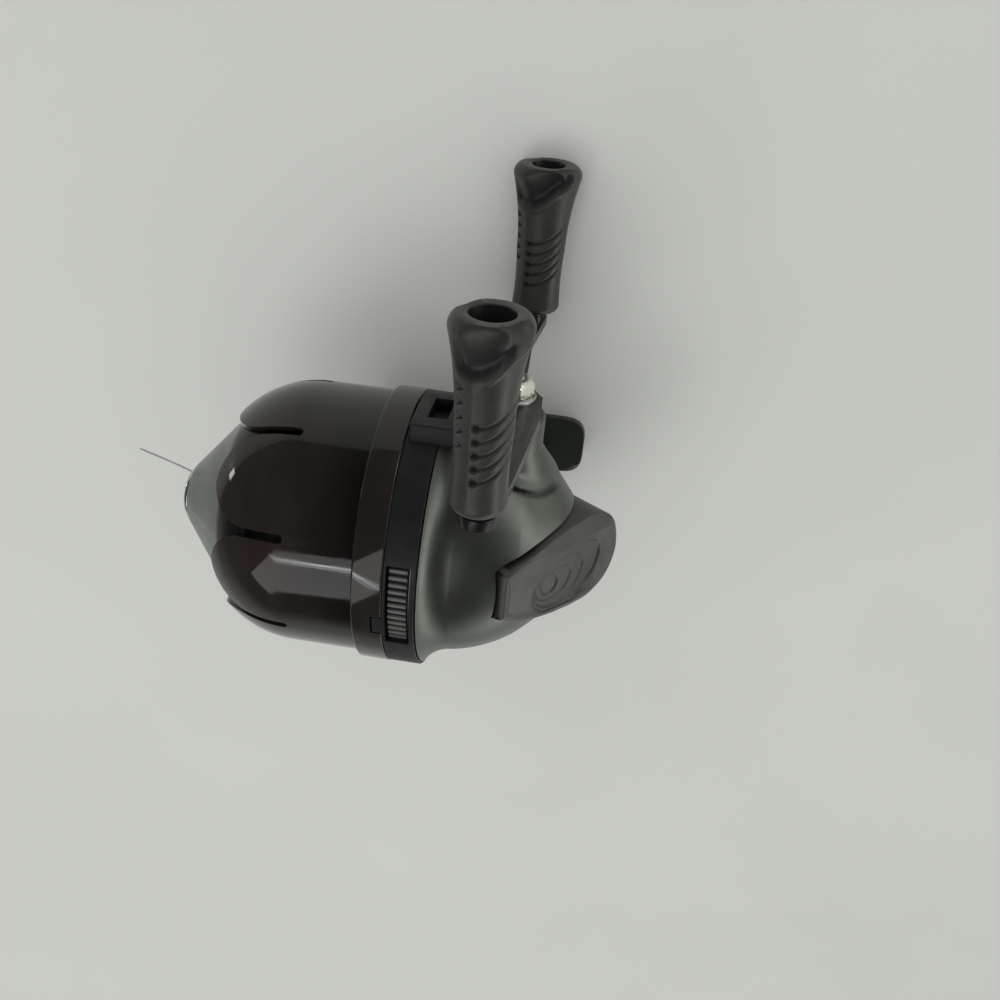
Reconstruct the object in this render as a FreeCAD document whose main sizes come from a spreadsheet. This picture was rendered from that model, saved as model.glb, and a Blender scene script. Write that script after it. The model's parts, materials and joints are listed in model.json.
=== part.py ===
import FreeCAD, Part
import math
import os
import re

import Sketcher

V = FreeCAD.Vector

# Closed-face reel that is clamped under a slingshot by its foot. Millimetres, +Z up.
# Origin: centre of the foot's underside. +X points out of the nose, the crank is on the -Y side.
# Stations below are measured from the front step of the collar, along the spool axis.
SIZES = {
    # placing of the two main axes
    "axis_height": 48.5,
    "ring_station": 12.0,
    "crank_station": 25.2,
    # clearances
    "fit_gap": 0.05,
    "run_gap": 0.05,
    "seat_gap": 0.3,
    "swing_gap": 0.5,
    "hole_gap": 0.1,
    "thread_gap": 0.25,
    "deck_gap": 0.2,
    "lug_gap": 0.15,
    # front cover: threaded collar, dome and eight petals
    "collar_step": 1.2,
    "collar_depth": 6.3,
    "collar_lip": 0.2,
    "cover_radius": 28.8,
    "cover_wall": 1.3,
    "shoulder": 15.5,
    "dome_arc": 22.95,
    "petal_tip": 31.4,
    "petal_count": 8,
    "petal_turn": 19.0,
    "slot_start": 15.0,
    "slot_width": 1.9,
    "slot_end_arc": 1.05,
    "tab_start": 22.9,
    "tab_radius": 8.5,
    # nose cone and line guide
    "nose_face": 42.9,
    "nose_radius": 6.9,
    "nose_wall": 1.3,
    "nose_bore": 4.5,
    "nose_shoulder": 31.0,
    "nose_lip": 22.9,
    "guide_bore": 4.0,
    "guide_bead": 0.93,
    "guide_proud": 0.4,
    "guide_shank": 1.8,
    # deck ring with its window, lug and key
    "band_step": 1.0,
    "band_wall": 1.0,
    "seam": 12.8,
    "web": 0.6,
    "spigot_wall": 1.25,
    "thread_depth": 0.75,
    "spigot_end": 0.5,
    "window_turn": -3.3,
    "window_width": 19.4,
    "window_margin": 1.0,
    "lug_height": 1.2,
    "lug_sink": 2.85,
    "lug_rear": 16.5,
    "lug_front": 7.0,
    "lug_bottom": -2.5,
    "lug_top": 12.5,
    "lug_slot_depth": 2.4,
    "lug_slot_rear": 13.9,
    "lug_slot_front": 9.8,
    "lug_slot_bottom": -0.5,
    "lug_slot_top": 8.5,
    "key_turn": -12.5,
    "key_width": 4.3,
    "key_front": 4.3,
    "key_height": 1.6,
    # deck plate and its tube
    "deck_thickness": 1.25,
    "tube_radius": 4.8,
    "tube_front": 17.0,
    "pinion_bore": 3.0,
    "bush_wall": 0.9,
    "bush_length": 4.0,
    # drag wheel, drag stack, spool and line
    "wheel_inset": 1.3,
    "wheel_rear": 11.2,
    "wheel_front": 7.1,
    "wheel_web": 1.4,
    "wheel_rim": 2.5,
    "wheel_hub": 8.0,
    "wheel_teeth": 112,
    "tooth_depth": 0.75,
    "wave_radius": 8.5,
    "washer_height": 0.8,
    "washer_radius": 11.0,
    "felt_height": 1.2,
    "spool_rear": 2.2,
    "spool_front": 15.8,
    "spool_flange": 19.0,
    "spool_core": 10.0,
    "flange_wall": 1.6,
    "line_radius": 17.0,
    "clip_height": 0.7,
    "clip_radius": 7.0,
    # spinner head, pickup pin and centre shaft
    "head_radius": 21.5,
    "head_wall": 1.5,
    "head_rear": 8.0,
    "head_front": 26.5,
    "head_round": 4.0,
    "head_hub": 4.5,
    "head_hub_rear": 20.0,
    "pin_turn": 125.0,
    "pin_station": 21.0,
    "pin_radius": 1.2,
    "pin_top": 23.3,
    "pin_root": 16.0,
    "pin_head": 1.9,
    "pin_head_height": 1.0,
    "pin_guide": 1.2,
    "pin_guide_depth": 2.5,
    "shaft_radius": 1.5,
    "shaft_rear": 33.2,
    "shaft_front": 28.9,
    "head_nut_radius": 3.2,
    "head_nut_height": 2.0,
    "stop_rear": 29.2,
    "stop_length": 1.0,
    "stop_radius": 2.6,
    "spring_radius": 2.45,
    "spring_wire": 0.5,
    # gear train
    "gear_teeth": 34,
    "pinion_teeth": 10,
    "gear_module": 0.6,
    "mesh_inner": 9.3,
    "mesh_width": 1.8,
    "gear_rim": 11.8,
    "gear_disc": 1.85,
    "gear_hub": 5.0,
    "gear_hub_end": 6.9,
    "root_thickness": 0.65,
    "tip_thickness": 0.3,
    "pinion_root_thickness": 0.9,
    "pinion_tip_thickness": 0.36,
    "pinion_overhang": 0.9,
    "pinion_washer_height": 0.35,
    "spring_washer_height": 0.5,
    # crank shaft, bushing, ratchet and pawl
    "crank_radius": 2.5,
    "crank_inner_end": 3.2,
    "stud_radius": 2.0,
    "stud_length": 8.7,
    "bushing_radius": 4.5,
    "bushing_inner": 11.0,
    "ratchet_radius": 7.5,
    "ratchet_root": 5.9,
    "ratchet_teeth": 12,
    "ratchet_inner": 7.0,
    "ratchet_height": 2.0,
    "ratchet_hub": 4.0,
    "pawl_station": 17.5,
    "pawl_drop": 10.0,
    "pawl_pin_radius": 1.0,
    "pawl_radius": 2.0,
    "pawl_root_half": 1.8,
    "pawl_tip_station": 23.0,
    "pawl_tip_drop": 7.9,
    "pawl_tip_half": 0.5,
    "pawl_boss_radius": 1.9,
    "pawl_boss_end": 11.6,
    "pawl_boss_root": 21.8,
    "pawl_pin_inner": 6.3,
    "pawl_pin_end": 18.6,
    "pawl_pin_head": 1.6,
    "pawl_side_gap": 0.2,
    "pawl_spring_wall": 0.5,
    # rear cover
    "rim_inset": 0.2,
    "rear_wall": 1.6,
    "rim_wall": 2.0,
    "neck_station": 18.8,
    "neck_radius": 25.65,
    "neck_fillet": 7.3,
    "back_arc": 29.0,
    "cone_station": 31.5,
    "cone_radius": 20.2,
    "cone_arc": 60.0,
    "tail_station": 42.6,
    "tail_radius": 7.8,
    "tail_round": 3.5,
    "end_station": 44.0,
    "end_radius": 5.5,
    "boss_height": 0.7,
    "boss_radius": 7.5,
    "boss_knee": 23.5,
    "flare_radius": 16.5,
    "flare_depth": 8.6,
    "boss_core": 6.8,
    "post_ring": 20.5,
    "post_radius": 2.2,
    "post_end": 26.0,
    "post_turn": 45.0,
    "post_count": 4,
    "foot_boss_radius": 3.1,
    "foot_boss_top": 21.6,
    "foot_boss_front_base": 25.0,
    "foot_boss_rear_base": 22.9,
    # thumb button, in its tilted frame
    "button_tilt": -55.0,
    "button_front": 1.8,
    "button_front_half": 5.0,
    "button_knee": -2.0,
    "button_knee_half": 7.0,
    "button_knee_round": 9.0,
    "button_side_arc": 80.0,
    "button_round_station": -23.5,
    "button_radius": 10.4,
    "button_face_front": 37.3,
    "button_face_rear": 38.6,
    "button_face_arc": 100.0,
    "button_wall": 1.6,
    "button_underside": 36.2,
    "button_hinge_along": -0.63,
    "button_hinge_level": 33.1,
    "button_lug_level": 31.0,
    "button_lug_rear": -3.2,
    "skirt_front": 34.0,
    "skirt_front_station": -14.0,
    "skirt_rear": 24.4,
    "opening_floor": 20.6,
    "hinge_pin_radius": 1.0,
    "ear_inner": 7.7,
    "ear_outer": 9.2,
    "ear_rear": 29.3,
    "ear_front": 25.7,
    "ear_low": 16.2,
    "ear_high": 19.0,
    "button_blank": 43.0,
    "post_half": 1.8,
    "push_rear": 36.6,
    "push_low": -2.4,
    "push_high": 2.0,
    # crank arm, knobs and their fasteners
    "arm_gap": 0.8,
    "arm_thickness": 2.0,
    "arm_reach": 46.85,
    "arm_lean": 0.95,
    "arm_tip_half": 3.1,
    "arm_tip_arc": 3.2,
    "arm_hub_radius": 6.4,
    "arm_inner_edge": 0.7,
    "arm_inner_knee": 31.0,
    "arm_waist_edge": 1.7,
    "arm_waist": 14.0,
    "arm_hub_start": 1.5,
    "arm_shoulder_edge": 7.0,
    "arm_shoulder": 8.7,
    "arm_outer_edge": 5.6,
    "arm_outer_knee": 29.0,
    "arm_fillet": 22.0,
    "spacer_radius": 4.2,
    "nut_washer_radius": 5.2,
    "nut_washer_height": 0.8,
    "nut_across": 8.0,
    "nut_height": 3.4,
    "knob_gap": 1.5,
    "knob_length": 34.1,
    "knob_base_radius": 4.0,
    "knob_low_radius": 5.2,
    "knob_low_length": 1.6,
    "knob_base_arc": 1.8,
    "knob_waist_length": 14.7,
    "knob_waist_arc": 90.0,
    "knob_flare_length": 31.7,
    "knob_flare_arc": 70.0,
    "knob_end_arc": 2.4,
    "knob_waist_radius": 5.2,
    "knob_flare_radius": 7.2,
    "knob_end_radius": 5.9,
    "knob_depth_half": 6.2,
    "knob_bore": 3.7,
    "knob_bore_depth": 17.4,
    "spindle_radius": 1.8,
    "spindle_head": 3.0,
    "spindle_head_height": 2.0,
    # foot and screws
    "foot_rear": 40.0,
    "foot_front": 16.0,
    "foot_width": 15.0,
    "foot_thickness": 2.0,
    "foot_corner": 5.0,
    "stem_width": 10.0,
    "stem_foot_rear": 29.0,
    "stem_foot_front": -4.0,
    "stem_top_rear": 25.0,
    "stem_top_front": 2.0,
    "screw_front": 16.2,
    "screw_rear": 22.8,
    "screw_shank": 1.25,
    "screw_head": 2.3,
    "screw_head_height": 1.5,
    "screw_length": 14.0,
    "deck_screw_shank": 1.0,
    "deck_screw_head": 1.9,
    "deck_screw_head_height": 0.8,
    "deck_screw_length": 7.0,
    # fishing line
    "line_diameter": 0.4,
}

# Sizes that follow the dome's radius, so that the pieces round it and beside it keep together.
TIED_SIZES = {
    "collar_radius": "cover_radius + collar_step",
    "band_radius": "cover_radius + band_step",
    "wheel_radius": "band_radius - wheel_inset",
    "rim_radius": "band_radius - rim_inset",
    "lug_face": "band_radius + lug_height",
    "lug_seat": "band_radius - lug_sink",
    "boss_face": "band_radius + boss_height",
    "arm_inner": "lug_face + arm_gap",
    "stud_end": "arm_inner + stud_length",
    "knob_inner": "arm_inner + arm_thickness + knob_gap",
    "knob_low": "knob_inner + knob_low_length",
    "knob_waist": "knob_inner + knob_waist_length",
    "knob_flare": "knob_inner + knob_flare_length",
    "knob_end": "knob_inner + knob_length",
    "knob_bore_floor": "knob_end - knob_bore_depth",
}

# Points of the line from the pickup pin out through the guide: station, distance from the axis.
LINE_ROUTE = [(22.35, 22.3), (25.7, 21.2), (28.2, 17.2), (38.3, 3.4), (43.6, 3.45),
              (45.6, 4.85), (58.0, 7.9)]
ARC_SHARE = 0.45

doc = FreeCAD.newDocument("reel")
sheet = doc.addObject("Spreadsheet::Sheet", "Sizes")
for row, (name, size) in enumerate({**SIZES, **TIED_SIZES}.items(), 1):
    sheet.set("A%d" % row, name)
    sheet.set("B%d" % row, "=%s" % size)
    sheet.setAlias("B%d" % row, name)
    doc.recompute()

# Derived places, written as formulas of the sizes above.
DOME_LEVEL = "(cover_radius - dome_arc)"
PETAL_RADIUS = f"({DOME_LEVEL} + sqrt(dome_arc^2 - (petal_tip - shoulder)^2))"
PETAL_INNER = f"({DOME_LEVEL} + sqrt((dome_arc - cover_wall)^2 - (petal_tip - shoulder)^2))"
NOSE_ARC = "(dome_arc - cover_wall - seat_gap)"
NOSE_BACK_RADIUS = f"({DOME_LEVEL} + sqrt({NOSE_ARC}^2 - (nose_shoulder - shoulder)^2))"
NOSE_LIP_RADIUS = f"({DOME_LEVEL} + sqrt({NOSE_ARC}^2 - (nose_lip - shoulder)^2))"
NOSE_INNER_ARC = f"({NOSE_ARC} - nose_wall)"
NOSE_LIP_INNER = f"({DOME_LEVEL} + sqrt({NOSE_INNER_ARC}^2 - (nose_lip - shoulder)^2))"
GUIDE_MEAN = "(guide_bore + guide_bead)"
GUIDE_STATION = "(nose_face + guide_proud)"
SPIGOT_RADIUS = "(cover_radius - thread_depth)"
COLLAR_INNER = f"({SPIGOT_RADIUS} + thread_gap)"
BAND_INNER = "(band_radius - band_wall)"
DECK_RADIUS = f"({BAND_INNER} - deck_gap)"
DECK_FRONT = "(seam - fit_gap - deck_thickness)"
FELT_REAR = "(spool_rear + fit_gap + felt_height)"
WASHER_REAR = f"({FELT_REAR} + fit_gap + washer_height)"
PINION_PITCH = "(pinion_teeth * gear_module / 2)"
TOOTH_ROOT = "(1.25 * gear_module)"
GEAR_TIP_LEVEL = f"({PINION_PITCH} - gear_module)"
GEAR_ROOT_LEVEL = f"({PINION_PITCH} + {TOOTH_ROOT})"
PINION_TIP = f"({PINION_PITCH} + gear_module)"
PINION_ROOT = f"({PINION_PITCH} - {TOOTH_ROOT})"
PINION_FRONT = "(seam - fit_gap + pinion_washer_height + 2 * run_gap)"
PINION_REAR = "(crank_station - mesh_inner + pinion_overhang)"
SHANK_RADIUS = "(pinion_bore - run_gap)"
SHAFT_HOLE = "(shaft_radius + run_gap)"
CRANK_HOLE = "(crank_radius + run_gap)"
ARM_OUTER = "(arm_inner + arm_thickness)"
NUT_FLOOR = f"({ARM_OUTER} + nut_washer_height + fit_gap)"
BUTTON_TAIL = "(button_round_station - button_radius)"
HINGE_X = "(button_hinge_along * cos(button_tilt) + button_hinge_level * sin(button_tilt))"
HINGE_Z = "(button_hinge_level * cos(button_tilt) - button_hinge_along * sin(button_tilt))"
PIN_REACH = "(ear_outer - 2 * seat_gap)"
CRANK_FIT = "(crank_radius + fit_gap / 2)"
STUD_FIT = "(stud_radius + fit_gap)"
SPINDLE_HOLE = "(spindle_radius + run_gap)"
SLANT_WALL = "(rear_wall * cos(45))"

# Frames that the bodies sit in: place of the origin, axis and angle of the turn.
CRANK_X = "ring_station - crank_station"
AXIS_X, AXIS_Y, AXIS_Z = V(1, 0, 0), V(0, 1, 0), V(0, 0, 1)
FRAMES = {
    "spool": (("ring_station", "0", "axis_height"), AXIS_X, "0"),
    "rotor": (("ring_station", "0", "axis_height"), AXIS_X, "pin_turn"),
    "button": (("ring_station", "0", "axis_height"), AXIS_Y, "button_tilt"),
    "crank": ((CRANK_X, "0", "axis_height"), AXIS_Z, "-90"),
    "front_knob": ((f"{CRANK_X} - arm_lean", "0", "axis_height + arm_reach"), AXIS_Z, "-90"),
    "rear_knob": ((f"{CRANK_X} + arm_lean", "0", "axis_height - arm_reach"), AXIS_Z, "-90"),
    "pawl": (("ring_station - pawl_station", "0", "axis_height - pawl_drop"), AXIS_Z, "-90"),
    "button_pin": ((f"ring_station + {HINGE_X}", "0", f"axis_height + {HINGE_Z}"), AXIS_Z, "-90"),
}

subparts = []
cuts = []


def bind(formula):
    """The formula with every size name pointed at its cell in the sheet."""
    return re.sub(r"\b([a-z][a-z_]+)\b(?!\()", r"Sizes.\1", formula)


def value(formula):
    return float(sheet.evalExpression(bind(formula)))


def place(thing, frame):
    """Put an object in one of the named frames and tie its position to the sheet."""
    base, axis, turn = FRAMES[frame] if isinstance(frame, str) else frame
    spot = V(*[value(part) for part in base])
    thing.Placement = FreeCAD.Placement(spot, FreeCAD.Rotation(axis, value(turn)))
    for letter, part in zip("xyz", base):
        thing.setExpression("Placement.Base." + letter, bind(part))


def new_body(label, frame):
    body = doc.addObject("PartDesign::Body", label)
    body.Label = label
    place(body, frame)
    return body


def arc_between(start, end, radius):
    """Circle arc of a signed radius; positive bulges to the left of the way from start to end."""
    chord = end - start
    left = V(-chord.y, chord.x, 0).normalize()
    reach = math.sqrt(max(radius * radius - chord.Length ** 2 / 4, 0))
    centre = (start + end) * 0.5 - left * math.copysign(reach, radius)
    circle = Part.Circle(centre, V(0, 0, 1), abs(radius))
    first, last = (end, start) if radius > 0 else (start, end)
    return Part.ArcOfCircle(circle, circle.parameter(first), circle.parameter(last))


def add_loop(drawing, points):
    """Closed outline through (across, up) formulas; a third formula bends the edge that ends there."""
    spots = [V(value(point[0]), value(point[1]), 0) for point in points]
    first = drawing.GeometryCount
    starts = []
    for number, point in enumerate(points):
        start, end = spots[number - 1], spots[number]
        if len(point) == 3:
            radius = value(point[2])
            drawing.addGeometry(arc_between(start, end, radius))
            starts.append(2 if radius > 0 else 1)
        else:
            drawing.addGeometry(Part.LineSegment(start, end))
            starts.append(1)
    count = len(points)
    for number in range(count):
        after = (number + 1) % count
        drawing.addConstraint(Sketcher.Constraint("Coincident", first + number, 3 - starts[number],
                                                  first + after, starts[after]))
    for number, point in enumerate(points):
        for kind, formula in (("DistanceX", point[0]), ("DistanceY", point[1])):
            rule = Sketcher.Constraint(kind, -1, 1, first + number, 3 - starts[number], value(formula))
            drawing.setExpression("Constraints[%d]" % drawing.addConstraint(rule), bind(formula))
        if len(point) == 3:
            size = "abs(%s)" % point[2]
            rule = Sketcher.Constraint("Radius", first + number, value(size))
            drawing.setExpression("Constraints[%d]" % drawing.addConstraint(rule), bind(size))


def add_circle(drawing, across, up, radius):
    """Circle whose centre and radius are formulas."""
    spot = V(value(across), value(up), 0)
    number = drawing.addGeometry(Part.Circle(spot, V(0, 0, 1), value(radius)))
    for kind, formula in (("DistanceX", across), ("DistanceY", up)):
        rule = Sketcher.Constraint(kind, -1, 1, number, 3, value(formula))
        drawing.setExpression("Constraints[%d]" % drawing.addConstraint(rule), bind(formula))
    rule = Sketcher.Constraint("Radius", number, value(radius))
    drawing.setExpression("Constraints[%d]" % drawing.addConstraint(rule), bind(radius))


def sketch(body, plane, loops, lift="0", turn=None, tilt=None, shift="0"):
    """Sketch on an origin plane, shifted along X, turned about X or tilted about Y, then lifted."""
    drawing = body.newObject("Sketcher::SketchObject", body.Label + "_sketch")
    support = [item for item in body.Origin.OriginFeatures if item.Role == plane][0]
    drawing.AttachmentSupport = (support, "")
    drawing.MapMode = "FlatFace"
    angle = turn or tilt or "0"
    axis = V(0, 1, 0) if tilt else V(1, 0, 0)
    across = f"{shift} + ({lift}) * sin({angle})" if tilt else shift
    sideways = f"-({lift}) * sin({angle})" if turn else "0"
    upward = f"({lift}) * cos({angle})"
    drawing.AttachmentOffset = FreeCAD.Placement(V(value(across), value(sideways), value(upward)),
                                                 FreeCAD.Rotation(axis, value(angle)))
    drawing.setExpression("AttachmentOffset.Base.x", bind(across))
    drawing.setExpression("AttachmentOffset.Base.y", bind(sideways))
    drawing.setExpression("AttachmentOffset.Base.z", bind(upward))
    for loop in loops:
        if isinstance(loop, tuple):
            add_circle(drawing, *loop)
        else:
            add_loop(drawing, loop)
    return drawing


def feature(body, kind, drawing):
    before = body.Tip
    item = body.newObject("PartDesign::" + kind, body.Label + "_" + kind.lower())
    item.Profile = drawing
    if kind in ("Pocket", "Groove"):
        cuts.append((before, item))
    drawing.Visibility = False
    return item


def spin(body, kind, loop, axis="H_Axis", **where):
    """Revolution or Groove of one outline about a sketch axis."""
    drawing = sketch(body, "XY_Plane", [loop], **where)
    item = feature(body, kind, drawing)
    item.ReferenceAxis = (drawing, [axis])
    item.Angle = 360
    return item


def raise_up(body, loops, height, plane="XY_Plane", middle=False, **where):
    """Pad away from the sketch, or to both sides of it."""
    item = feature(body, "Pad", sketch(body, plane, loops, **where))
    item.setExpression("Length", bind(height))
    if middle:
        item.Midplane = True
    return item


def cut_up(body, loops, height, plane="XY_Plane", middle=False, **where):
    """Pocket away from the sketch, or to both sides of it."""
    item = feature(body, "Pocket", sketch(body, plane, loops, **where))
    item.setExpression("Length", bind(height))
    if middle:
        item.Midplane = True
    else:
        item.Reversed = True
    return item


def repeat(body, item, count):
    """Polar pattern of a feature about the body's X axis."""
    doc.recompute()
    pattern = body.newObject("PartDesign::PolarPattern", body.Label + "_pattern")
    pattern.Originals = [item]
    axis = [part for part in body.Origin.OriginFeatures if part.Role == "X_Axis"][0]
    pattern.Axis = (axis, [""])
    pattern.Angle = 360
    pattern.setExpression("Occurrences", bind(count))
    body.Tip = pattern
    return pattern


def box(left, right, low, high):
    """Rectangle as an outline, from two across formulas and two up formulas."""
    return [(left, low), (right, low), (right, high), (left, high)]


def turned(label, frame, loop):
    body = new_body(label, frame)
    spin(body, "Revolution", loop)
    return keep(body)


def keep(thing):
    subparts.append(thing)
    return thing


def group(label, members):
    bundle = doc.addObject("Part::Compound", label)
    bundle.Label = label
    bundle.Links = members
    return keep(bundle)


# Front: cover, nose cone, line guide

def front_cover():
    """Smoked clear dome with a threaded collar and eight petals."""
    body = new_body("front_cover", "spool")
    spin(body, "Revolution", [
        ("-(collar_depth - fit_gap)", COLLAR_INNER),
        ("-(collar_depth - fit_gap)", "collar_radius"),
        ("0", "collar_radius"),
        ("0", "cover_radius"),
        ("shoulder", "cover_radius"),
        ("petal_tip", PETAL_RADIUS, "dome_arc"),
        ("petal_tip", PETAL_INNER),
        ("shoulder", "cover_radius - cover_wall", "-(dome_arc - cover_wall)"),
        ("-collar_lip", "cover_radius - cover_wall"),
        ("-collar_lip", COLLAR_INNER),
    ])
    half = "slot_width / 2"
    side = f"({PETAL_RADIUS} * sin(180 / petal_count))"
    tip = f"(tab_start + sqrt(tab_radius^2 - ({side} - slot_width / 2 - tab_radius)^2))"
    slot = cut_up(body, [[
        ("slot_start", half, "slot_end_arc"),
        ("tab_start", half),
        (tip, side, "-tab_radius"),
        ("petal_tip + tab_radius", side),
        ("petal_tip + tab_radius", f"-{side}"),
        (tip, f"-{side}"),
        ("tab_start", f"-{half}", "-tab_radius"),
        ("slot_start", f"-{half}"),
    ]], "cover_radius", lift="cover_radius / 2", turn="petal_turn")
    repeat(body, slot, "petal_count")
    cut_up(body, [box("-collar_depth - 1", "-key_front + seat_gap",
                      "-key_width / 2 - seat_gap", "key_width / 2 + seat_gap")],
           "collar_radius", lift=f"{COLLAR_INNER} - 2", turn="key_turn")
    return keep(body)


def nose_cone():
    """Metal cone whose broad flange is held under the petals."""
    back = NOSE_BACK_RADIUS
    slope = f"sqrt((nose_face - nose_shoulder)^2 + ({back} - nose_radius)^2)"
    inward = f"nose_wall * ({back} - nose_radius) / {slope}"
    downward = f"nose_wall * (nose_face - nose_shoulder) / {slope}"
    rise = f"({back} - nose_radius) / (nose_face - nose_shoulder)"
    turned("nose_cone", "spool", [
        ("nose_lip", NOSE_LIP_INNER, f"-{NOSE_INNER_ARC}"),
        ("nose_lip", NOSE_LIP_RADIUS),
        ("nose_shoulder", back, NOSE_ARC),
        ("nose_face", "nose_radius"),
        ("nose_face", "nose_bore"),
        ("nose_face - nose_wall", "nose_bore"),
        ("nose_face - nose_wall", f"nose_radius + nose_wall * {rise} - nose_wall * {slope}"
                                  f" / (nose_face - nose_shoulder)"),
        (f"nose_shoulder - {inward}", f"{back} - {downward}"),
    ])


def line_guide():
    """Polished ring in the nose that the line runs over."""
    flat = f"({GUIDE_MEAN} + sqrt(guide_bead^2 - ({GUIDE_STATION} - nose_face - fit_gap)^2))"
    turned("line_guide", "spool", [
        ("nose_face - guide_shank", "guide_bore"),
        (GUIDE_STATION, "guide_bore"),
        (f"{GUIDE_STATION} + guide_bead", GUIDE_MEAN, "-guide_bead"),
        (GUIDE_STATION, f"{GUIDE_MEAN} + guide_bead", "-guide_bead"),
        ("nose_face + fit_gap", flat, "-guide_bead"),
        ("nose_face + fit_gap", "nose_bore - fit_gap"),
        ("nose_face - guide_shank", "nose_bore - fit_gap"),
    ])


# Middle: deck ring, deck plate, drag wheel

def deck_ring():
    """Black band between the covers, with a window over the drag wheel, a slotted lug and a key."""
    body = new_body("deck_ring", "spool")
    spin(body, "Revolution", [
        ("-seam", BAND_INNER),
        ("-seam", "band_radius"),
        ("-collar_depth", "band_radius"),
        ("-collar_depth", SPIGOT_RADIUS),
        ("-spigot_end", SPIGOT_RADIUS),
        ("-spigot_end", f"{SPIGOT_RADIUS} - spigot_wall"),
        ("-(collar_depth + web)", f"{SPIGOT_RADIUS} - spigot_wall"),
        ("-(collar_depth + web)", BAND_INNER),
    ])
    raise_up(body, [box("-lug_rear", "-lug_front", "lug_bottom", "lug_top")],
             "lug_face - lug_seat", lift="lug_seat", turn="90")
    spin(body, "Groove", box("-seam", "-(collar_depth + web)", "0", BAND_INNER))
    raise_up(body, [box("-(collar_depth + web)", "-key_front", "-key_width / 2", "key_width / 2")],
             f"{COLLAR_INNER} + key_height - {SPIGOT_RADIUS} + spigot_wall / 2",
             lift=f"{SPIGOT_RADIUS} - spigot_wall / 2", turn="key_turn")
    cut_up(body, [box("-seam + window_margin", "-(collar_depth + web)",
                      "-window_width / 2", "window_width / 2")],
           "band_radius", lift="band_radius / 2", turn="window_turn")
    cut_up(body, [box("-lug_slot_rear", "-lug_slot_front", "lug_slot_bottom", "lug_slot_top")],
           "lug_slot_depth + 1", lift="lug_face - lug_slot_depth", turn="90")
    return keep(body)


def deck_plate():
    """Plate that closes the gear case; its tube carries the spool outside and the pinion inside."""
    body = new_body("deck_plate", "spool")
    spin(body, "Revolution", [
        ("-(seam - fit_gap)", "pinion_bore"),
        ("-(seam - fit_gap)", DECK_RADIUS),
        (f"-{DECK_FRONT}", DECK_RADIUS),
        (f"-{DECK_FRONT}", "tube_radius"),
        ("tube_front", "tube_radius"),
        ("tube_front", "pinion_bore + bush_wall + fit_gap"),
        ("tube_front - bush_length", "pinion_bore + bush_wall + fit_gap"),
        ("tube_front - bush_length", "pinion_bore"),
    ])
    cut_up(body, screw_circles("deck_screw_shank + hole_gap"), "deck_thickness + 2",
           plane="YZ_Plane", lift="-(seam + 1)")
    cut_up(body, screw_circles("deck_screw_head + hole_gap"), "deck_thickness",
           plane="YZ_Plane", lift=f"-({DECK_FRONT} + deck_screw_head_height + fit_gap)")
    return keep(body)


def screw_circles(radius):
    """One circle at each post of the rear cover, seen along the spool axis."""
    turns = [f"(post_turn + {number} * 360 / post_count)" for number in range(int(value("post_count")))]
    return [(f"-post_ring * sin{turn}", f"post_ring * cos{turn}", radius) for turn in turns]


def drag_wheel():
    """Serrated wheel under the window; its hub rides on the deck tube."""
    body = new_body("drag_wheel", "spool")
    middle = "(wheel_rear + wheel_front) / 2"
    spin(body, "Revolution", [
        ("-wheel_rear", "tube_radius + run_gap"),
        ("-wheel_rear", "wheel_hub"),
        (f"-({middle} + wheel_web / 2)", "wheel_hub"),
        (f"-({middle} + wheel_web / 2)", "wheel_radius - wheel_rim"),
        ("-wheel_rear", "wheel_radius - wheel_rim"),
        ("-wheel_rear", "wheel_radius"),
        ("-wheel_front", "wheel_radius"),
        ("-wheel_front", "wheel_radius - wheel_rim"),
        (f"-({middle} - wheel_web / 2)", "wheel_radius - wheel_rim"),
        (f"-({middle} - wheel_web / 2)", "wheel_hub"),
        ("-wheel_front", "wheel_hub"),
        ("-wheel_front", "tube_radius + run_gap"),
    ])
    half = "(wheel_radius * sin(180 / wheel_teeth))"
    notch = cut_up(body, [[
        ("0", "wheel_radius - tooth_depth"),
        (half, "wheel_radius"),
        (half, "wheel_radius + tooth_depth"),
        (f"-{half}", "wheel_radius + tooth_depth"),
        (f"-{half}", "wheel_radius"),
    ]], "wheel_rear - wheel_front + 2", plane="YZ_Plane", lift="-(wheel_rear + 1)")
    repeat(body, notch, "wheel_teeth")
    return keep(body)


def ring(label, frame, left, right, inner, outer):
    """Washer, bush or sleeve between two stations."""
    return turned(label, frame, box(left, right, inner, outer))


def deck_tube_pieces():
    """Front bush of the pinion and the clip that holds the spool on the tube."""
    ring("front_bush", "spool", "tube_front - bush_length + fit_gap", "tube_front",
         "pinion_bore", "pinion_bore + bush_wall")
    ring("spool_clip", "spool", "spool_front + seat_gap", "spool_front + seat_gap + clip_height",
         "tube_radius + fit_gap / 2", "clip_radius")


def drag_stack():
    """Wave spring, steel washer and felt between the drag wheel and the spool."""
    bore = "tube_radius + run_gap"
    ring("drag_spring", "spool", "-(wheel_front - run_gap)", f"-({WASHER_REAR} + fit_gap)",
         bore, "wave_radius")
    ring("drag_washer", "spool", f"-{WASHER_REAR}", f"-({FELT_REAR} + fit_gap)",
         bore, "washer_radius")
    ring("drag_felt", "spool", f"-{FELT_REAR}", "-(spool_rear + fit_gap)", bore, "washer_radius")


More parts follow.
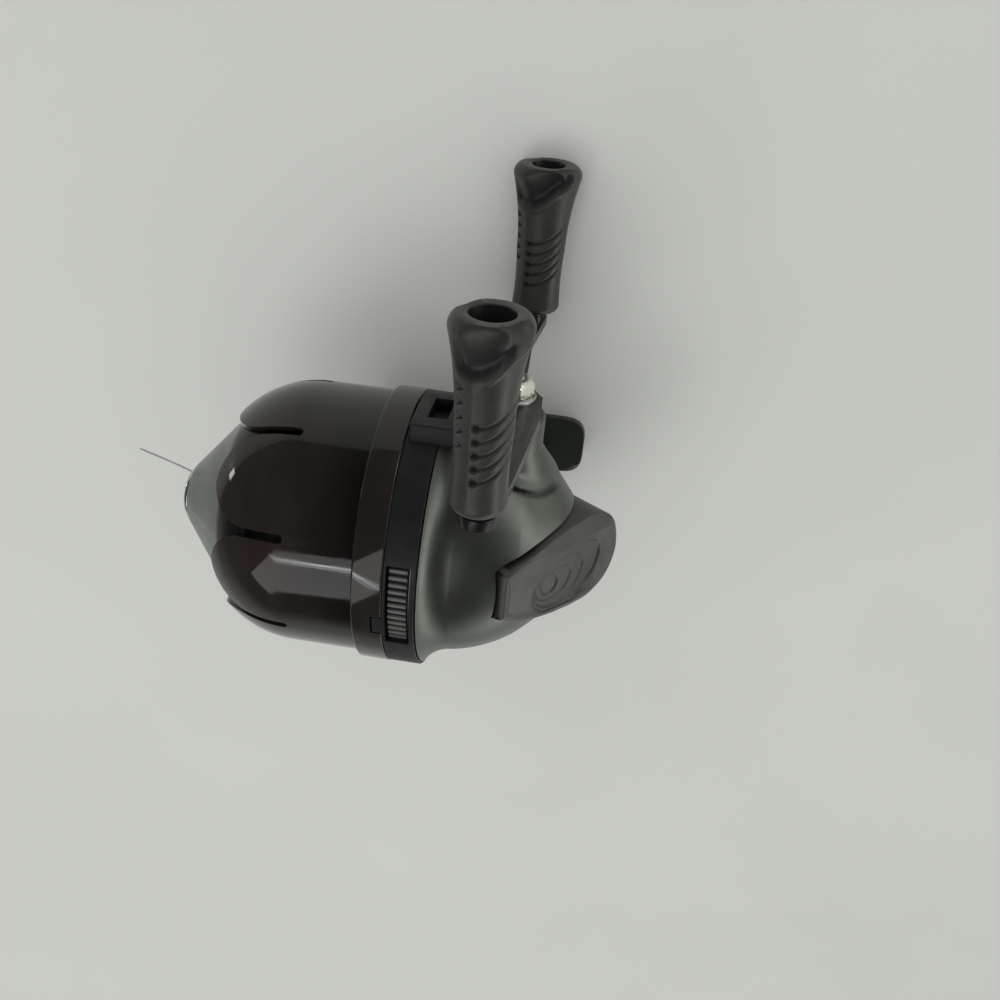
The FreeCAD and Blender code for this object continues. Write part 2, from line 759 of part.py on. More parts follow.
def spool():
    turned("spool", "spool", [
        ("-spool_rear", "tube_radius + run_gap"),
        ("-spool_rear", "spool_flange"),
        ("flange_wall - spool_rear", "spool_flange"),
        ("flange_wall - spool_rear", "spool_core"),
        ("spool_front - flange_wall", "spool_core"),
        ("spool_front - flange_wall", "spool_flange"),
        ("spool_front", "spool_flange"),
        ("spool_front", "tube_radius + run_gap"),
    ])
    ring("line_winding", "spool", "flange_wall - spool_rear + fit_gap",
         "spool_front - flange_wall - fit_gap", "spool_core + fit_gap", "line_radius")


# Rotor: spinner head, pickup pin, centre shaft and line

def spinner_head():
    """Cup that turns over the spool; a guide inside it holds the pickup pin."""
    body = new_body("spinner_head", "rotor")
    spin(body, "Revolution", [
        ("head_rear", "head_radius - head_wall"),
        ("head_rear", "head_radius"),
        ("head_front - head_round", "head_radius"),
        ("head_front", "head_radius - head_round", "head_round"),
        ("head_front", "shaft_radius + fit_gap / 2"),
        ("head_hub_rear", "shaft_radius + fit_gap / 2"),
        ("head_hub_rear", "head_hub"),
        ("head_front - head_wall", "head_hub"),
        ("head_front - head_wall", "head_radius - head_round"),
        ("head_front - head_round", "head_radius - head_wall", "-(head_round - head_wall)"),
    ])
    raise_up(body, [("pin_station", "0", "pin_radius + run_gap + pin_guide")],
             "pin_guide_depth + head_wall / 2", lift="head_radius - head_wall - pin_guide_depth")
    cut_up(body, [("pin_station", "0", "pin_radius + run_gap")],
           "pin_guide_depth + 2 * head_wall", lift="head_radius - head_wall - pin_guide_depth - 1")
    return keep(body)


def pickup_pin():
    """Steel pin that catches the line; it slides in along its own length when the button is pressed."""
    body = new_body("pickup_pin", "rotor")
    raise_up(body, [("pin_station", "0", "pin_radius")], "pin_top - pin_root", lift="pin_root")
    raise_up(body, [("pin_station", "0", "pin_head")], "pin_head_height", lift="pin_root")
    return keep(body)


def centre_shaft():
    ring("centre_shaft", "spool", "-shaft_rear", "shaft_front", "0", "shaft_radius")
    ring("spinner_nut", "spool", "head_front + fit_gap", "head_front + fit_gap + head_nut_height",
         "shaft_radius + fit_gap / 2", "head_nut_radius")
    ring("shaft_collar", "spool", "-stop_rear", "stop_length - stop_rear",
         "shaft_radius + fit_gap / 2", "stop_radius")


def return_spring():
    """Spring between the collar on the shaft and the washer on the pinion."""
    washer_rear = f"({PINION_REAR} + run_gap + spring_washer_height)"
    ring("spring_washer", "spool", f"-{washer_rear}", f"-({PINION_REAR} + run_gap)",
         SHAFT_HOLE, "spring_radius + spring_wire")
    ring("return_spring", "spool", "stop_length - stop_rear + fit_gap", f"-({washer_rear} + fit_gap)",
         "spring_radius - spring_wire", "spring_radius")


def line_lead():
    """Line from the pickup pin over the edge of the cup and out through the guide."""
    spots = [V(station, 0, reach) for station, reach in LINE_ROUTE]
    legs = [after - before for before, after in zip(spots, spots[1:])]
    edges = []
    last = spots[0]
    for number in range(1, len(spots) - 1):
        before, after = legs[number - 1], legs[number]
        half = before.getAngle(after) / 2
        trim = ARC_SHARE * min(before.Length, after.Length)
        ways = V(before).normalize(), V(after).normalize()
        start, end = spots[number] - ways[0] * trim, spots[number] + ways[1] * trim
        inward = (ways[1] - ways[0]).normalize()
        radius = trim / math.tan(half)
        centre = spots[number] + inward * (radius / math.cos(half))
        edges.append(Part.LineSegment(last, start).toShape())
        edges.append(Part.Arc(start, centre - inward * radius, end).toShape())
        last = end
    edges.append(Part.LineSegment(last, spots[-1]).toShape())
    path = Part.Wire(edges)
    radius = value("line_diameter / 2")
    section = Part.Wire([Part.Circle(spots[0], spots[1] - spots[0], radius).toShape()])
    thing = doc.addObject("Part::Feature", "line_lead")
    thing.Label = "line_lead"
    thing.Shape = path.makePipeShell([section], True, False)
    tube_volume = path.Length * math.pi * radius ** 2
    print("line %.1f mm long, volume %.3f of %.3f" % (path.Length, thing.Shape.Volume, tube_volume))
    place(thing, "rotor")
    return keep(thing)


# Gear train

def drive_gear():
    """Face gear on the crank shaft."""
    body = new_body("drive_gear", "crank")
    back = f"({GEAR_ROOT_LEVEL} + gear_disc)"
    spin(body, "Revolution", [
        ("crank_inner_end", CRANK_FIT),
        ("crank_inner_end", "gear_hub"),
        (GEAR_ROOT_LEVEL, "gear_hub"),
        (GEAR_ROOT_LEVEL, "gear_rim"),
        (back, "gear_rim"),
        (back, "gear_hub"),
        ("gear_hub_end", "gear_hub"),
        ("gear_hub_end", CRANK_FIT),
    ])
    root, tip = "root_thickness / 2", "tip_thickness / 2"
    foot = f"({GEAR_ROOT_LEVEL} + gear_disc / 4)"
    tooth = raise_up(body, [[
        (foot, f"-{root}"),
        (foot, root),
        (GEAR_ROOT_LEVEL, root),
        (GEAR_TIP_LEVEL, tip),
        (GEAR_TIP_LEVEL, f"-{tip}"),
        (GEAR_ROOT_LEVEL, f"-{root}"),
    ]], "mesh_width", lift="mesh_inner")
    repeat(body, tooth, "gear_teeth")
    return keep(body)


def pinion_gear():
    """Pinion whose long shank runs in the deck tube and drives the centre shaft."""
    body = new_body("pinion_gear", "spool")
    front = "(tube_front + 2 * seat_gap)"
    spin(body, "Revolution", [
        (f"-{PINION_REAR}", SHAFT_HOLE),
        (f"-{PINION_REAR}", PINION_ROOT),
        (f"-{PINION_FRONT}", PINION_ROOT),
        (f"-{PINION_FRONT}", SHANK_RADIUS),
        (front, SHANK_RADIUS),
        (front, SHAFT_HOLE),
    ])
    root, tip = "pinion_root_thickness / 2", "pinion_tip_thickness / 2"
    inside = f"-({PINION_ROOT} - gear_module / 4)"
    tooth = raise_up(body, [[
        (inside, f"-{root}"),
        (inside, root),
        (f"-{PINION_TIP}", tip),
        (f"-{PINION_TIP}", f"-{tip}"),
    ]], f"{PINION_REAR} - {PINION_FRONT}", plane="YZ_Plane", lift=f"-{PINION_REAR}")
    repeat(body, tooth, "pinion_teeth")
    keep(body)
    ring("pinion_washer", "spool", f"-({PINION_FRONT} - run_gap)", "-(seam - fit_gap + run_gap)",
         "pinion_bore", f"{PINION_TIP} + gear_module")


# Crank side

def crank_shaft():
    turned("crank_shaft", "crank", [
        ("crank_inner_end", "0"),
        ("stud_end", "0"),
        ("stud_end", "stud_radius"),
        ("arm_inner", "stud_radius"),
        ("arm_inner", "crank_radius"),
        ("crank_inner_end", "crank_radius"),
    ])
    ring("crank_bushing", "crank", "bushing_inner", "boss_face", CRANK_HOLE, "bushing_radius")
    ring("crank_spacer", "crank", "boss_face + 2 * run_gap", "arm_inner - fit_gap",
         CRANK_FIT, "spacer_radius")


def ratchet():
    """Anti-reverse wheel with saw teeth, on a hub against the bushing."""
    body = new_body("ratchet", "crank")
    spin(body, "Revolution", [
        ("ratchet_inner", CRANK_FIT),
        ("ratchet_inner", "ratchet_radius"),
        ("ratchet_inner + ratchet_height", "ratchet_radius"),
        ("ratchet_inner + ratchet_height", "ratchet_hub"),
        ("bushing_inner - 2 * run_gap", "ratchet_hub"),
        ("bushing_inner - 2 * run_gap", CRANK_FIT),
    ])
    notch = cut_up(body, [[
        ("0", "ratchet_root"),
        ("(ratchet_radius * sin(300 / ratchet_teeth))", "ratchet_radius + 1"),
        ("0", "ratchet_radius + 1"),
    ]], "ratchet_height + 1", plane="YZ_Plane", lift="ratchet_inner - 1")
    repeat(body, notch, "ratchet_teeth")
    return keep(body)


def pawl():
    """Pawl that rides on the ratchet, its pivot pin and the spring round the pin."""
    body = new_body("pawl", "pawl")
    across = "(pawl_station - pawl_tip_station)"
    rise = "(pawl_drop - pawl_tip_drop)"
    reach = f"sqrt({across}^2 + {rise}^2)"
    side = (f"pawl_tip_half * {rise} / {reach}", f"pawl_tip_half * {across} / {reach}")
    root = (f"pawl_root_half * {rise} / {reach}", f"pawl_root_half * {across} / {reach}")
    floor = "ratchet_inner + pawl_side_gap"
    height = "ratchet_height - 2 * pawl_side_gap"
    raise_up(body, [("0", "0", "pawl_radius")], height, plane="YZ_Plane", lift=floor)
    raise_up(body, [[
        (f"-({root[0]})", root[1]),
        (root[0], f"-({root[1]})"),
        (f"{across} + {side[0]}", f"{rise} - {side[1]}"),
        (f"{across} - {side[0]}", f"{rise} + {side[1]}"),
    ]], height, plane="YZ_Plane", lift=floor)
    cut_up(body, [("0", "0", "pawl_pin_radius + run_gap")], "ratchet_height + 1",
           plane="YZ_Plane", lift="ratchet_inner - 0.5")
    keep(body)
    turned("pawl_pin", "pawl", [
        ("pawl_pin_inner", "0"),
        ("pawl_pin_end", "0"),
        ("pawl_pin_end", "pawl_pin_radius"),
        ("ratchet_inner", "pawl_pin_radius"),
        ("ratchet_inner", "pawl_pin_head"),
        ("pawl_pin_inner", "pawl_pin_head"),
    ])
    ring("pawl_spring", "pawl", "ratchet_inner + ratchet_height", "pawl_boss_end - fit_gap",
         "pawl_pin_radius + 2 * fit_gap", "pawl_pin_radius + 2 * fit_gap + pawl_spring_wall")


def crank_arm():
    """Flat S-shaped arm that carries a knob at each end."""
    body = new_body("crank_arm", "crank")
    half = [
        ("arm_lean - arm_tip_half", "-arm_reach"),
        ("-arm_inner_edge", "-arm_inner_knee"),
        ("-arm_waist_edge", "-arm_waist"),
        ("-arm_hub_radius", "-arm_hub_start", "-arm_fillet"),
        ("-arm_shoulder_edge", "arm_shoulder"),
        ("-arm_outer_edge", "arm_outer_knee"),
        ("-(arm_lean + arm_tip_half)", "arm_reach"),
    ]
    turned_half = [(f"-({point[0]})", f"-({point[1]})") + point[2:] for point in half]
    half[0] += ("arm_tip_arc",)
    turned_half[0] += ("arm_tip_arc",)
    raise_up(body, [half + turned_half], "arm_thickness", plane="YZ_Plane", lift="arm_inner")
    holes = [
        ("0", "0", STUD_FIT),
        ("-arm_lean", "arm_reach", "spindle_radius + fit_gap"),
        ("arm_lean", "-arm_reach", "spindle_radius + fit_gap"),
    ]
    cut_up(body, holes, "arm_thickness + 2", plane="YZ_Plane", lift="arm_inner - 1")
    return keep(body)


def arm_nut():
    ring("arm_washer", "crank", f"{ARM_OUTER} + fit_gap", f"{ARM_OUTER} + nut_washer_height",
         STUD_FIT, "nut_washer_radius")
    body = new_body("arm_nut", "crank")
    corner = "(nut_across / 2 / cos(30))"
    hexagon = [(f"{corner} * cos({60 * turn})", f"{corner} * sin({60 * turn})") for turn in range(6)]
    raise_up(body, [hexagon, ("0", "0", STUD_FIT)], "nut_height", plane="YZ_Plane", lift=NUT_FLOOR)
    return keep(body)


def knob(name):
    """Waisted grip with flattened faces; it turns on a spindle that is riveted to the arm."""
    body = new_body(name + "_knob", name + "_knob")
    spin(body, "Revolution", [
        ("knob_inner", SPINDLE_HOLE),
        ("knob_inner", "knob_base_radius"),
        ("knob_low", "knob_low_radius", "knob_base_arc"),
        ("knob_waist", "knob_waist_radius", "-knob_waist_arc"),
        ("knob_flare", "knob_flare_radius", "-knob_flare_arc"),
        ("knob_end", "knob_end_radius", "knob_end_arc"),
        ("knob_end", "knob_bore"),
        ("knob_bore_floor", "knob_bore"),
        ("knob_bore_floor", SPINDLE_HOLE),
    ])
    blank = [box("knob_inner - 1", "knob_end + 1", "-2 * knob_flare_radius", "2 * knob_flare_radius")]
    cut_up(body, blank, "knob_flare_radius", lift="knob_depth_half")
    cut_up(body, blank, "knob_flare_radius", lift="-(knob_depth_half + knob_flare_radius)")
    keep(body)
    turned(name + "_spindle", name + "_knob", [
        ("arm_inner", "0"),
        ("knob_bore_floor + run_gap + spindle_head_height", "0"),
        ("knob_bore_floor + run_gap + spindle_head_height", "spindle_head"),
        ("knob_bore_floor + run_gap", "spindle_head"),
        ("knob_bore_floor + run_gap", "spindle_radius"),
        ("arm_inner", "spindle_radius"),
    ])


# Rear cover and thumb button

def button_outline(grow="0"):
    """Outline of the button, seen square to its face: blunt at the front, round at the rear."""
    side, rear = f"-(button_side_arc + {grow})", f"-(button_radius + {grow})"
    knee, front = f"-(button_knee_round + {grow})", f"button_front_half + {grow}"
    return [
        (f"button_front + {grow}", f"-({front})", knee),
        (f"button_front + {grow}", front),
        ("button_knee", f"button_knee_half + {grow}", knee),
        ("button_round_station", f"button_radius + {grow}", side),
        (f"{BUTTON_TAIL} - {grow}", "0", rear),
        ("button_round_station", f"-(button_radius + {grow})", rear),
        ("button_knee", f"-(button_knee_half + {grow})", side),
    ]


def rear_cover():
    """Gear case: turned shell with the crank boss, screw posts, bosses and the button's opening."""
    body = new_body("rear_cover", "spool")
    spin(body, "Revolution", [
        ("-seam", "0"),
        ("-seam", "rim_radius"),
        ("-neck_station", "neck_radius", "neck_fillet"),
        ("-cone_station", "cone_radius", "-back_arc"),
        ("-tail_station", "tail_radius", "-cone_arc"),
        ("-end_station", "end_radius", "-tail_round"),
        ("-end_station", "0"),
    ])
    boss = {"axis": "V_Axis", "shift": "-crank_station"}
    spin(body, "Revolution", [
        ("0", "-flare_depth"),
        ("flare_radius", "-flare_depth"),
        ("boss_radius", "-boss_knee"),
        ("boss_radius", "-boss_face"),
        ("0", "-boss_face"),
    ], **boss)
    spin(body, "Groove", [
        ("0", "0"),
        ("0", "rim_radius - rim_wall"),
        ("-seam", "rim_radius - rim_wall"),
        ("-neck_station", "neck_radius - rear_wall", "neck_fillet + rear_wall"),
        (f"{SLANT_WALL} - cone_station", f"cone_radius - {SLANT_WALL}", "-(back_arc - rear_wall)"),
        (f"{SLANT_WALL} - tail_station", f"tail_radius - {SLANT_WALL}", "-(cone_arc - rear_wall)"),
        ("rear_wall - end_station", "end_radius - rear_wall"),
        ("rear_wall - end_station", "0"),
    ])
    spin(body, "Revolution", box("bushing_radius", "boss_core", "-(boss_knee + fit_gap)",
                                 "-bushing_inner"), **boss)
    spin(body, "Groove", box("0", "bushing_radius + fit_gap / 2", "-(boss_face + 1)",
                             "1 - bushing_inner"), **boss)
    raise_up(body, screw_circles("post_radius"), "post_end - seam", plane="YZ_Plane", lift="-post_end")
    cut_up(body, screw_circles("deck_screw_shank + fit_gap"), "deck_screw_length + 1",
           plane="YZ_Plane", lift="-(seam + deck_screw_length + seat_gap)")
    for station, base in (("screw_front", "foot_boss_front_base"), ("screw_rear", "foot_boss_rear_base")):
        raise_up(body, [(f"-{station}", "0", "foot_boss_radius")], f"{base} - foot_boss_top",
                 lift=f"-{base}")
        cut_up(body, [(f"-{station}", "0", "screw_shank + fit_gap")], "rim_radius - foot_boss_top + 1",
               lift="-rim_radius")
    raise_up(body, [("-pawl_station", "-pawl_drop", "pawl_boss_radius")],
             "pawl_boss_root - pawl_boss_end", lift="pawl_boss_end", turn="90")
    cut_up(body, [("-pawl_station", "-pawl_drop", "pawl_pin_radius + fit_gap / 2")],
           "pawl_pin_end - pawl_boss_end + 1 + fit_gap", lift="pawl_boss_end - 1", turn="90")
    cut_up(body, [button_outline("swing_gap")], "button_blank - opening_floor",
           lift="opening_floor", tilt="button_tilt")
    for start in ("ear_inner", "-ear_outer"):
        raise_up(body, [box("-ear_rear", "-ear_front", "ear_low", "ear_high")],
                 "ear_outer - ear_inner", lift=start, turn="90")
    cut_up(body, [(HINGE_X, HINGE_Z, "hinge_pin_radius + fit_gap")],
           f"2 * ({PIN_REACH} + fit_gap)", lift=f"-({PIN_REACH} + fit_gap)", turn="90")
    cut_up(body, [box("-(lug_rear + lug_gap)", "1 - seam", "lug_bottom - lug_gap", "lug_top + lug_gap")],
           "lug_face", lift="lug_seat - lug_gap", turn="90")
    return keep(body)


def tilted(across, up):
    """The place of a point of the reel's side view in the button's own frame."""
    return (f"({across}) * cos(button_tilt) - ({up}) * sin(button_tilt)",
            f"({across}) * sin(button_tilt) + ({up}) * cos(button_tilt)")


def thumb_button():
    """Deep cap over the rear of the case; a lug carries its hinge pin and a post pushes the shaft."""
    body = new_body("thumb_button", "button")
    raise_up(body, [button_outline()], "button_blank - skirt_rear", lift="skirt_rear")
    ahead, behind = "button_front + 2", f"{BUTTON_TAIL} - 2"
    cut_up(body, [[
        (behind, "button_blank + 1"),
        (behind, "button_face_rear"),
        (ahead, "button_face_front", "button_face_arc"),
        (ahead, "button_blank + 1"),
    ]], "3 * button_radius", middle=True, turn="90")
    cut_up(body, [[
        (behind, "skirt_rear - 1"),
        (ahead, "skirt_rear - 1"),
        (ahead, "button_lug_level"),
        ("button_lug_rear", "button_lug_level"),
        ("button_lug_rear", "skirt_front"),
        ("skirt_front_station", "skirt_front"),
        (f"{BUTTON_TAIL}", "skirt_rear"),
        (behind, "skirt_rear"),
    ]], "3 * button_radius", middle=True, turn="90")
    inner = "button_radius - button_wall"
    cut_up(body, [[
        ("button_lug_rear", "button_wall - button_knee_half", "-(button_side_arc - button_wall)"),
        ("button_lug_rear", "button_knee_half - button_wall"),
        ("button_round_station", inner, "-(button_side_arc - button_wall)"),
        (f"{BUTTON_TAIL} + button_wall", "0", f"-({inner})"),
        ("button_round_station", f"-({inner})", f"-({inner})"),
    ]], "button_underside - skirt_rear + 1", lift="skirt_rear - 1")
    front = "-(shaft_rear + seat_gap)"
    low, high, back = tilted(front, "push_low"), tilted(front, "push_high"), tilted("-push_rear", "push_low")
    raise_up(body, [[
        low,
        high,
        (high[0], "button_underside + button_wall / 4"),
        (back[0], "button_underside + button_wall / 4"),
        back,
    ]], "2 * post_half", middle=True, turn="90")
    cut_up(body, [("button_hinge_along", "button_hinge_level", "hinge_pin_radius + run_gap")],
           "3 * button_radius", middle=True, turn="90")
    keep(body)
    ring("button_pin", "button_pin", f"-{PIN_REACH}", PIN_REACH, "0", "hinge_pin_radius")


# Foot and screws

def reel_foot():
    """Flat foot for the clamp of the slingshot, with a stem that is hollowed to the case."""
    body = new_body("reel_foot", "spool")
    side, corner = "foot_width / 2", "foot_corner"
    raise_up(body, [[
        (f"{corner} - foot_rear", f"-{side}", f"-{corner}"),
        (f"foot_front - {corner}", f"-{side}"),
        ("foot_front", f"{corner} - {side}", f"-{corner}"),
        ("foot_front", f"{side} - {corner}"),
        (f"foot_front - {corner}", side, f"-{corner}"),
        (f"{corner} - foot_rear", side),
        ("-foot_rear", f"{side} - {corner}", f"-{corner}"),
        ("-foot_rear", f"{corner} - {side}"),
    ]], "foot_thickness", lift="-axis_height")
    raise_up(body, [[
        ("-stem_foot_rear", "foot_thickness / 2 - axis_height"),
        ("-stem_foot_front", "foot_thickness / 2 - axis_height"),
        ("-stem_top_front", "-cone_radius"),
        ("-stem_top_rear", "-cone_radius"),
    ]], "stem_width", middle=True, turn="90")
    spin(body, "Groove", [
        ("-cone_station", "0"),
        ("-cone_station", "cone_radius + fit_gap"),
        ("-neck_station", "neck_radius + fit_gap", "back_arc"),
        ("-seam", "rim_radius + fit_gap", "-neck_fillet"),
        ("-seam", "collar_radius + seat_gap"),
        ("foot_front", "collar_radius + seat_gap"),
        ("foot_front", "0"),
    ])
    for station in ("screw_front", "screw_rear"):
        cut_up(body, [(f"-{station}", "0", "screw_shank + fit_gap")],
               "screw_length", lift="-(foot_boss_top + screw_length + seat_gap)")
    return keep(body)


def screw(label, frame, head_start, head_end, tip, head, shank):
    """Screw along its frame's X axis, from the head's outer face to the tip."""
    body = new_body(label, frame)
    spin(body, "Revolution", [
        (head_start, "0"), (head_start, head), (head_end, head), (head_end, shank), (tip, shank), (tip, "0"),
    ])
    return body


def screws():
    """Two screws from inside the case into the foot, and one through the deck plate into each post."""
    foot = []
    for station in ("screw_front", "screw_rear"):
        frame = ((f"ring_station - {station}", "0", "axis_height"), AXIS_Y, "90")
        foot.append(screw("foot_" + station, frame, "foot_boss_top - screw_head_height",
                          "foot_boss_top - fit_gap / 2", "foot_boss_top + screw_length",
                          "screw_head", "screw_shank"))
    group("foot_screws", foot)
    deck = []
    for number, (across, up, radius) in enumerate(screw_circles("deck_screw_shank")):
        frame = (("ring_station", across, f"axis_height + {up}"), AXIS_X, "0")
        deck.append(screw("deck_screw_%d" % number, frame, f"-{DECK_FRONT} - fit_gap / 2",
                          f"-({DECK_FRONT} + deck_screw_head_height)", "-(seam + deck_screw_length)",
                          "deck_screw_head", radius))
    group("deck_screws", deck)


front_cover()
nose_cone()
line_guide()
deck_ring()
deck_plate()
drag_wheel()
deck_tube_pieces()
drag_stack()
spool()
spinner_head()
pickup_pin()
centre_shaft()
return_spring()
line_lead()
drive_gear()
pinion_gear()
crank_shaft()
ratchet()
pawl()
crank_arm()
arm_nut()
knob("front")
knob("rear")
rear_cover()
thumb_button()
reel_foot()
screws()

doc.recompute()
for item in doc.Objects:
    if "Invalid" in item.State or "Error" in item.State:
        raise RuntimeError("%s did not build" % item.Name)
for before, item in cuts:
    if item.Shape.Volume > before.Shape.Volume - 0.1:
        raise RuntimeError("%s cuts nothing" % item.Name)
for thing in subparts:
    if thing.Shape.isNull() or not thing.Shape.isValid():
        raise RuntimeError("%s has no valid shape" % thing.Label)

os.makedirs("parts", exist_ok=True)
for thing in subparts:
    thing.Shape.exportStep("parts/%s.step" % thing.Label)
    print(thing.Label, len(thing.Shape.Solids), "solid(s)", round(thing.Shape.Volume, 1), "mm3")
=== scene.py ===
import json
from math import atan2, ceil, copysign, cos, degrees, exp, hypot, inf, pi, radians, sin, sqrt, tan, tau

import bmesh
import bpy
from mathutils import Matrix, Vector


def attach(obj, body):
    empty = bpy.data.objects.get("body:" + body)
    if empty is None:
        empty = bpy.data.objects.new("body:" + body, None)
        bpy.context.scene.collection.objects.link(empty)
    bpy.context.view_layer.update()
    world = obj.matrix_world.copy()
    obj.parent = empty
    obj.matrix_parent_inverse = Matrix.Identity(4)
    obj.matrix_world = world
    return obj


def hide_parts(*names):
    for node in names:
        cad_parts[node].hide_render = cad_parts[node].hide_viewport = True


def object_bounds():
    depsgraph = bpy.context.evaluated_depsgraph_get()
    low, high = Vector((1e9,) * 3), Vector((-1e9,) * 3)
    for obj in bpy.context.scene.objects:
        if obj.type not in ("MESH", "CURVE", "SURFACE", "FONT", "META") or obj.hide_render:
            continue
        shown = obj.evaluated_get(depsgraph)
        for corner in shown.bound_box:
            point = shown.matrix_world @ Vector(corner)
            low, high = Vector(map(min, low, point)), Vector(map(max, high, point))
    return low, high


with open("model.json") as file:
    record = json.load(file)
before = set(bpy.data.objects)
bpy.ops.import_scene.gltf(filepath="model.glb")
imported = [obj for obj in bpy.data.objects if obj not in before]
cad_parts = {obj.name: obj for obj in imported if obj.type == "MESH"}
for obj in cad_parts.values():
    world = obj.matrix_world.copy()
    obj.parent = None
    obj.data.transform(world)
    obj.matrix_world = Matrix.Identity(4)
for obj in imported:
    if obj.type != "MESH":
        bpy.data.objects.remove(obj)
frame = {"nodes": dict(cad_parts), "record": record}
cad_box = [list(corner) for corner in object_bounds()]

# The reel is drawn in millimetres and placed in metres. +X leaves the nose, -Y is the crank side.
MM = 0.001
AXIS_HEIGHT = 48.5
RING_STATION = 12.0
CRANK_STATION = 25.2
ARM_REACH = 46.85
ARM_LEAN = 0.95
BUTTON_TILT = -55

# Frames of the pieces: stations of the spool axis, depth along the crank, height over the button.
REEL = Matrix.Scale(MM, 4)
SPOOL = Matrix.Translation(Vector((RING_STATION, 0, AXIS_HEIGHT)) * MM) @ REEL
BUTTON = SPOOL @ Matrix.Rotation(radians(BUTTON_TILT), 4, "Y")
CRANK = SPOOL @ Matrix.Translation((-CRANK_STATION, 0, 0)) @ Matrix.Rotation(radians(-90), 4, "Z")
FRONT_KNOB = CRANK @ Matrix.Translation((0, -ARM_LEAN, ARM_REACH))
REAR_KNOB = CRANK @ Matrix.Translation((0, ARM_LEAN, -ARM_REACH))

ARC_STEP = radians(4)
ROUND_STEPS = 5
SMOOTH_STEPS = 256
SHARP = radians(32)
WELD = 1e-4
# Strength of the painted shade in creases, gaps, recesses and under parts.
DARK = 0.95


def turned_place(turn):
    """The spool's frame, turned so that its Z axis leaves the reel at a given angle from the top."""
    return SPOOL @ Matrix.Rotation(radians(turn), 4, "X")


CRANK_SIDE = turned_place(90)


# Outlines

def bend(start, end, radius, step=ARC_STEP):
    """Points after start up to end on an arc; a positive radius bulges left of the way."""
    start, end = Vector(start), Vector(end)
    chord = end - start
    left = Vector((-chord.y, chord.x)).normalized()
    reach = sqrt(max(radius * radius - chord.length_squared / 4, 0))
    centre = (start + end) / 2 - left * copysign(reach, radius)
    first = atan2(start.y - centre.y, start.x - centre.x)
    last = atan2(end.y - centre.y, end.x - centre.x)
    turn = (last - first) % tau
    if radius > 0:
        turn -= tau
    count = max(2, ceil(abs(turn) / step))
    angles = [first + turn * i / count for i in range(1, count)]
    return [centre + abs(radius) * Vector((cos(angle), sin(angle))) for angle in angles] + [end]


def outline(corners, closed=True, grain=inf):
    """Points of an outline. A corner: across, up, the bend of the edge that ends there, its rounding."""
    spots, rounds = [], []
    for number, corner in enumerate(corners):
        here = Vector(corner[:2])
        if number or closed:
            before = Vector(corners[number - 1][:2])
            arc = corner[2] if len(corner) > 2 else 0
            edge = bend(before, here, arc, min(ARC_STEP, grain / abs(arc))) if arc else [here]
        else:
            edge = [here]
        spots += edge
        rounds += [0] * (len(edge) - 1) + [corner[3] if len(corner) > 3 else 0]
    return round_off(spots, rounds, closed)


def finer(spots, grain):
    """The same open line, with points no further apart than a given length."""
    result = spots[:1]
    for before, after in zip(spots, spots[1:]):
        count = max(1, ceil((after - before).length / grain))
        result += [before.lerp(after, i / count) for i in range(1, count + 1)]
    return result


def walk(spots, start, step, reach):
    """The spot at a given length along the outline from a corner, and how many points that passes."""
    here, passed = start, 0
    while True:
        after = (here + step) % len(spots)
        gap = spots[after] - spots[here]
        if gap.length >= reach or passed > len(spots):
            return spots[here] + gap.normalized() * reach, passed
        reach -= gap.length
        here = after
        passed += 1


def round_off(spots, rounds, closed):
    """Replace each rounded corner by a short curve that is tangent to both sides."""
    result, skip = [], set()
    curves = {}
    for number, radius in enumerate(rounds):
        if not radius:
            continue
        before = (spots[number] - spots[number - 1]).normalized()
        after = (spots[(number + 1) % len(spots)] - spots[number]).normalized()
        trim = radius * tan(before.angle(after) / 2)
        start, back = walk(spots, number, -1, trim)
        end, ahead = walk(spots, number, 1, trim)
        skip |= {(number - i) % len(spots) for i in range(back + 1)}
        skip |= {(number + i) % len(spots) for i in range(ahead + 1)}
        corner = spots[number]
        curves[number] = [start.lerp(corner, t).lerp(corner.lerp(end, t), t)
                          for t in (i / ROUND_STEPS for i in range(ROUND_STEPS + 1))]
    for number, spot in enumerate(spots):
        if number in curves:
            result += curves[number]
        elif number not in skip:
            result.append(spot)
    return result


def along_steps(spots, x):
    """Height of a line of spots at x, level past both ends."""
    if x <= spots[0][0]:
        return spots[0][1]
    for (x0, y0), (x1, y1) in zip(spots, spots[1:]):
        if x <= x1:
            return y0 + (y1 - y0) * (x - x0) / (x1 - x0)
    return spots[-1][1]


# Meshes

def new_object(name, data):
    made = bpy.data.objects.new(name, data)
    bpy.context.scene.collection.objects.link(made)
    return made


def from_grid(name, rows, place, wrap_rows=False):
    """Mesh of a grid of rings of points; rings that shrink to one spot close into a pole."""
    mesh = bmesh.new()
    grid = [[mesh.verts.new(spot) for spot in row] for row in rows]
    for i in range(len(grid) if wrap_rows else len(grid) - 1):
        row, above = grid[i], grid[(i + 1) % len(grid)]
        for j in range(len(row)):
            k = (j + 1) % len(row)
            mesh.faces.new((row[j], row[k], above[k], above[j]))
    return close_up(name, mesh, place)


def close_up(name, mesh, place):
    """Weld, point the faces outwards, place the mesh in the reel's frame and shade it."""
    bmesh.ops.remove_doubles(mesh, verts=mesh.verts, dist=WELD)
    bmesh.ops.dissolve_degenerate(mesh, edges=mesh.edges, dist=WELD)
    bmesh.ops.delete(mesh, geom=[edge for edge in mesh.edges if edge.is_wire], context="EDGES")
    bmesh.ops.recalc_face_normals(mesh, faces=mesh.faces)
    bmesh.ops.transform(mesh, matrix=place, verts=mesh.verts)
    data = bpy.data.meshes.new(name)
    mesh.to_mesh(data)
    mesh.free()
    piece = new_object(name, data)
    shade(piece)
    return piece


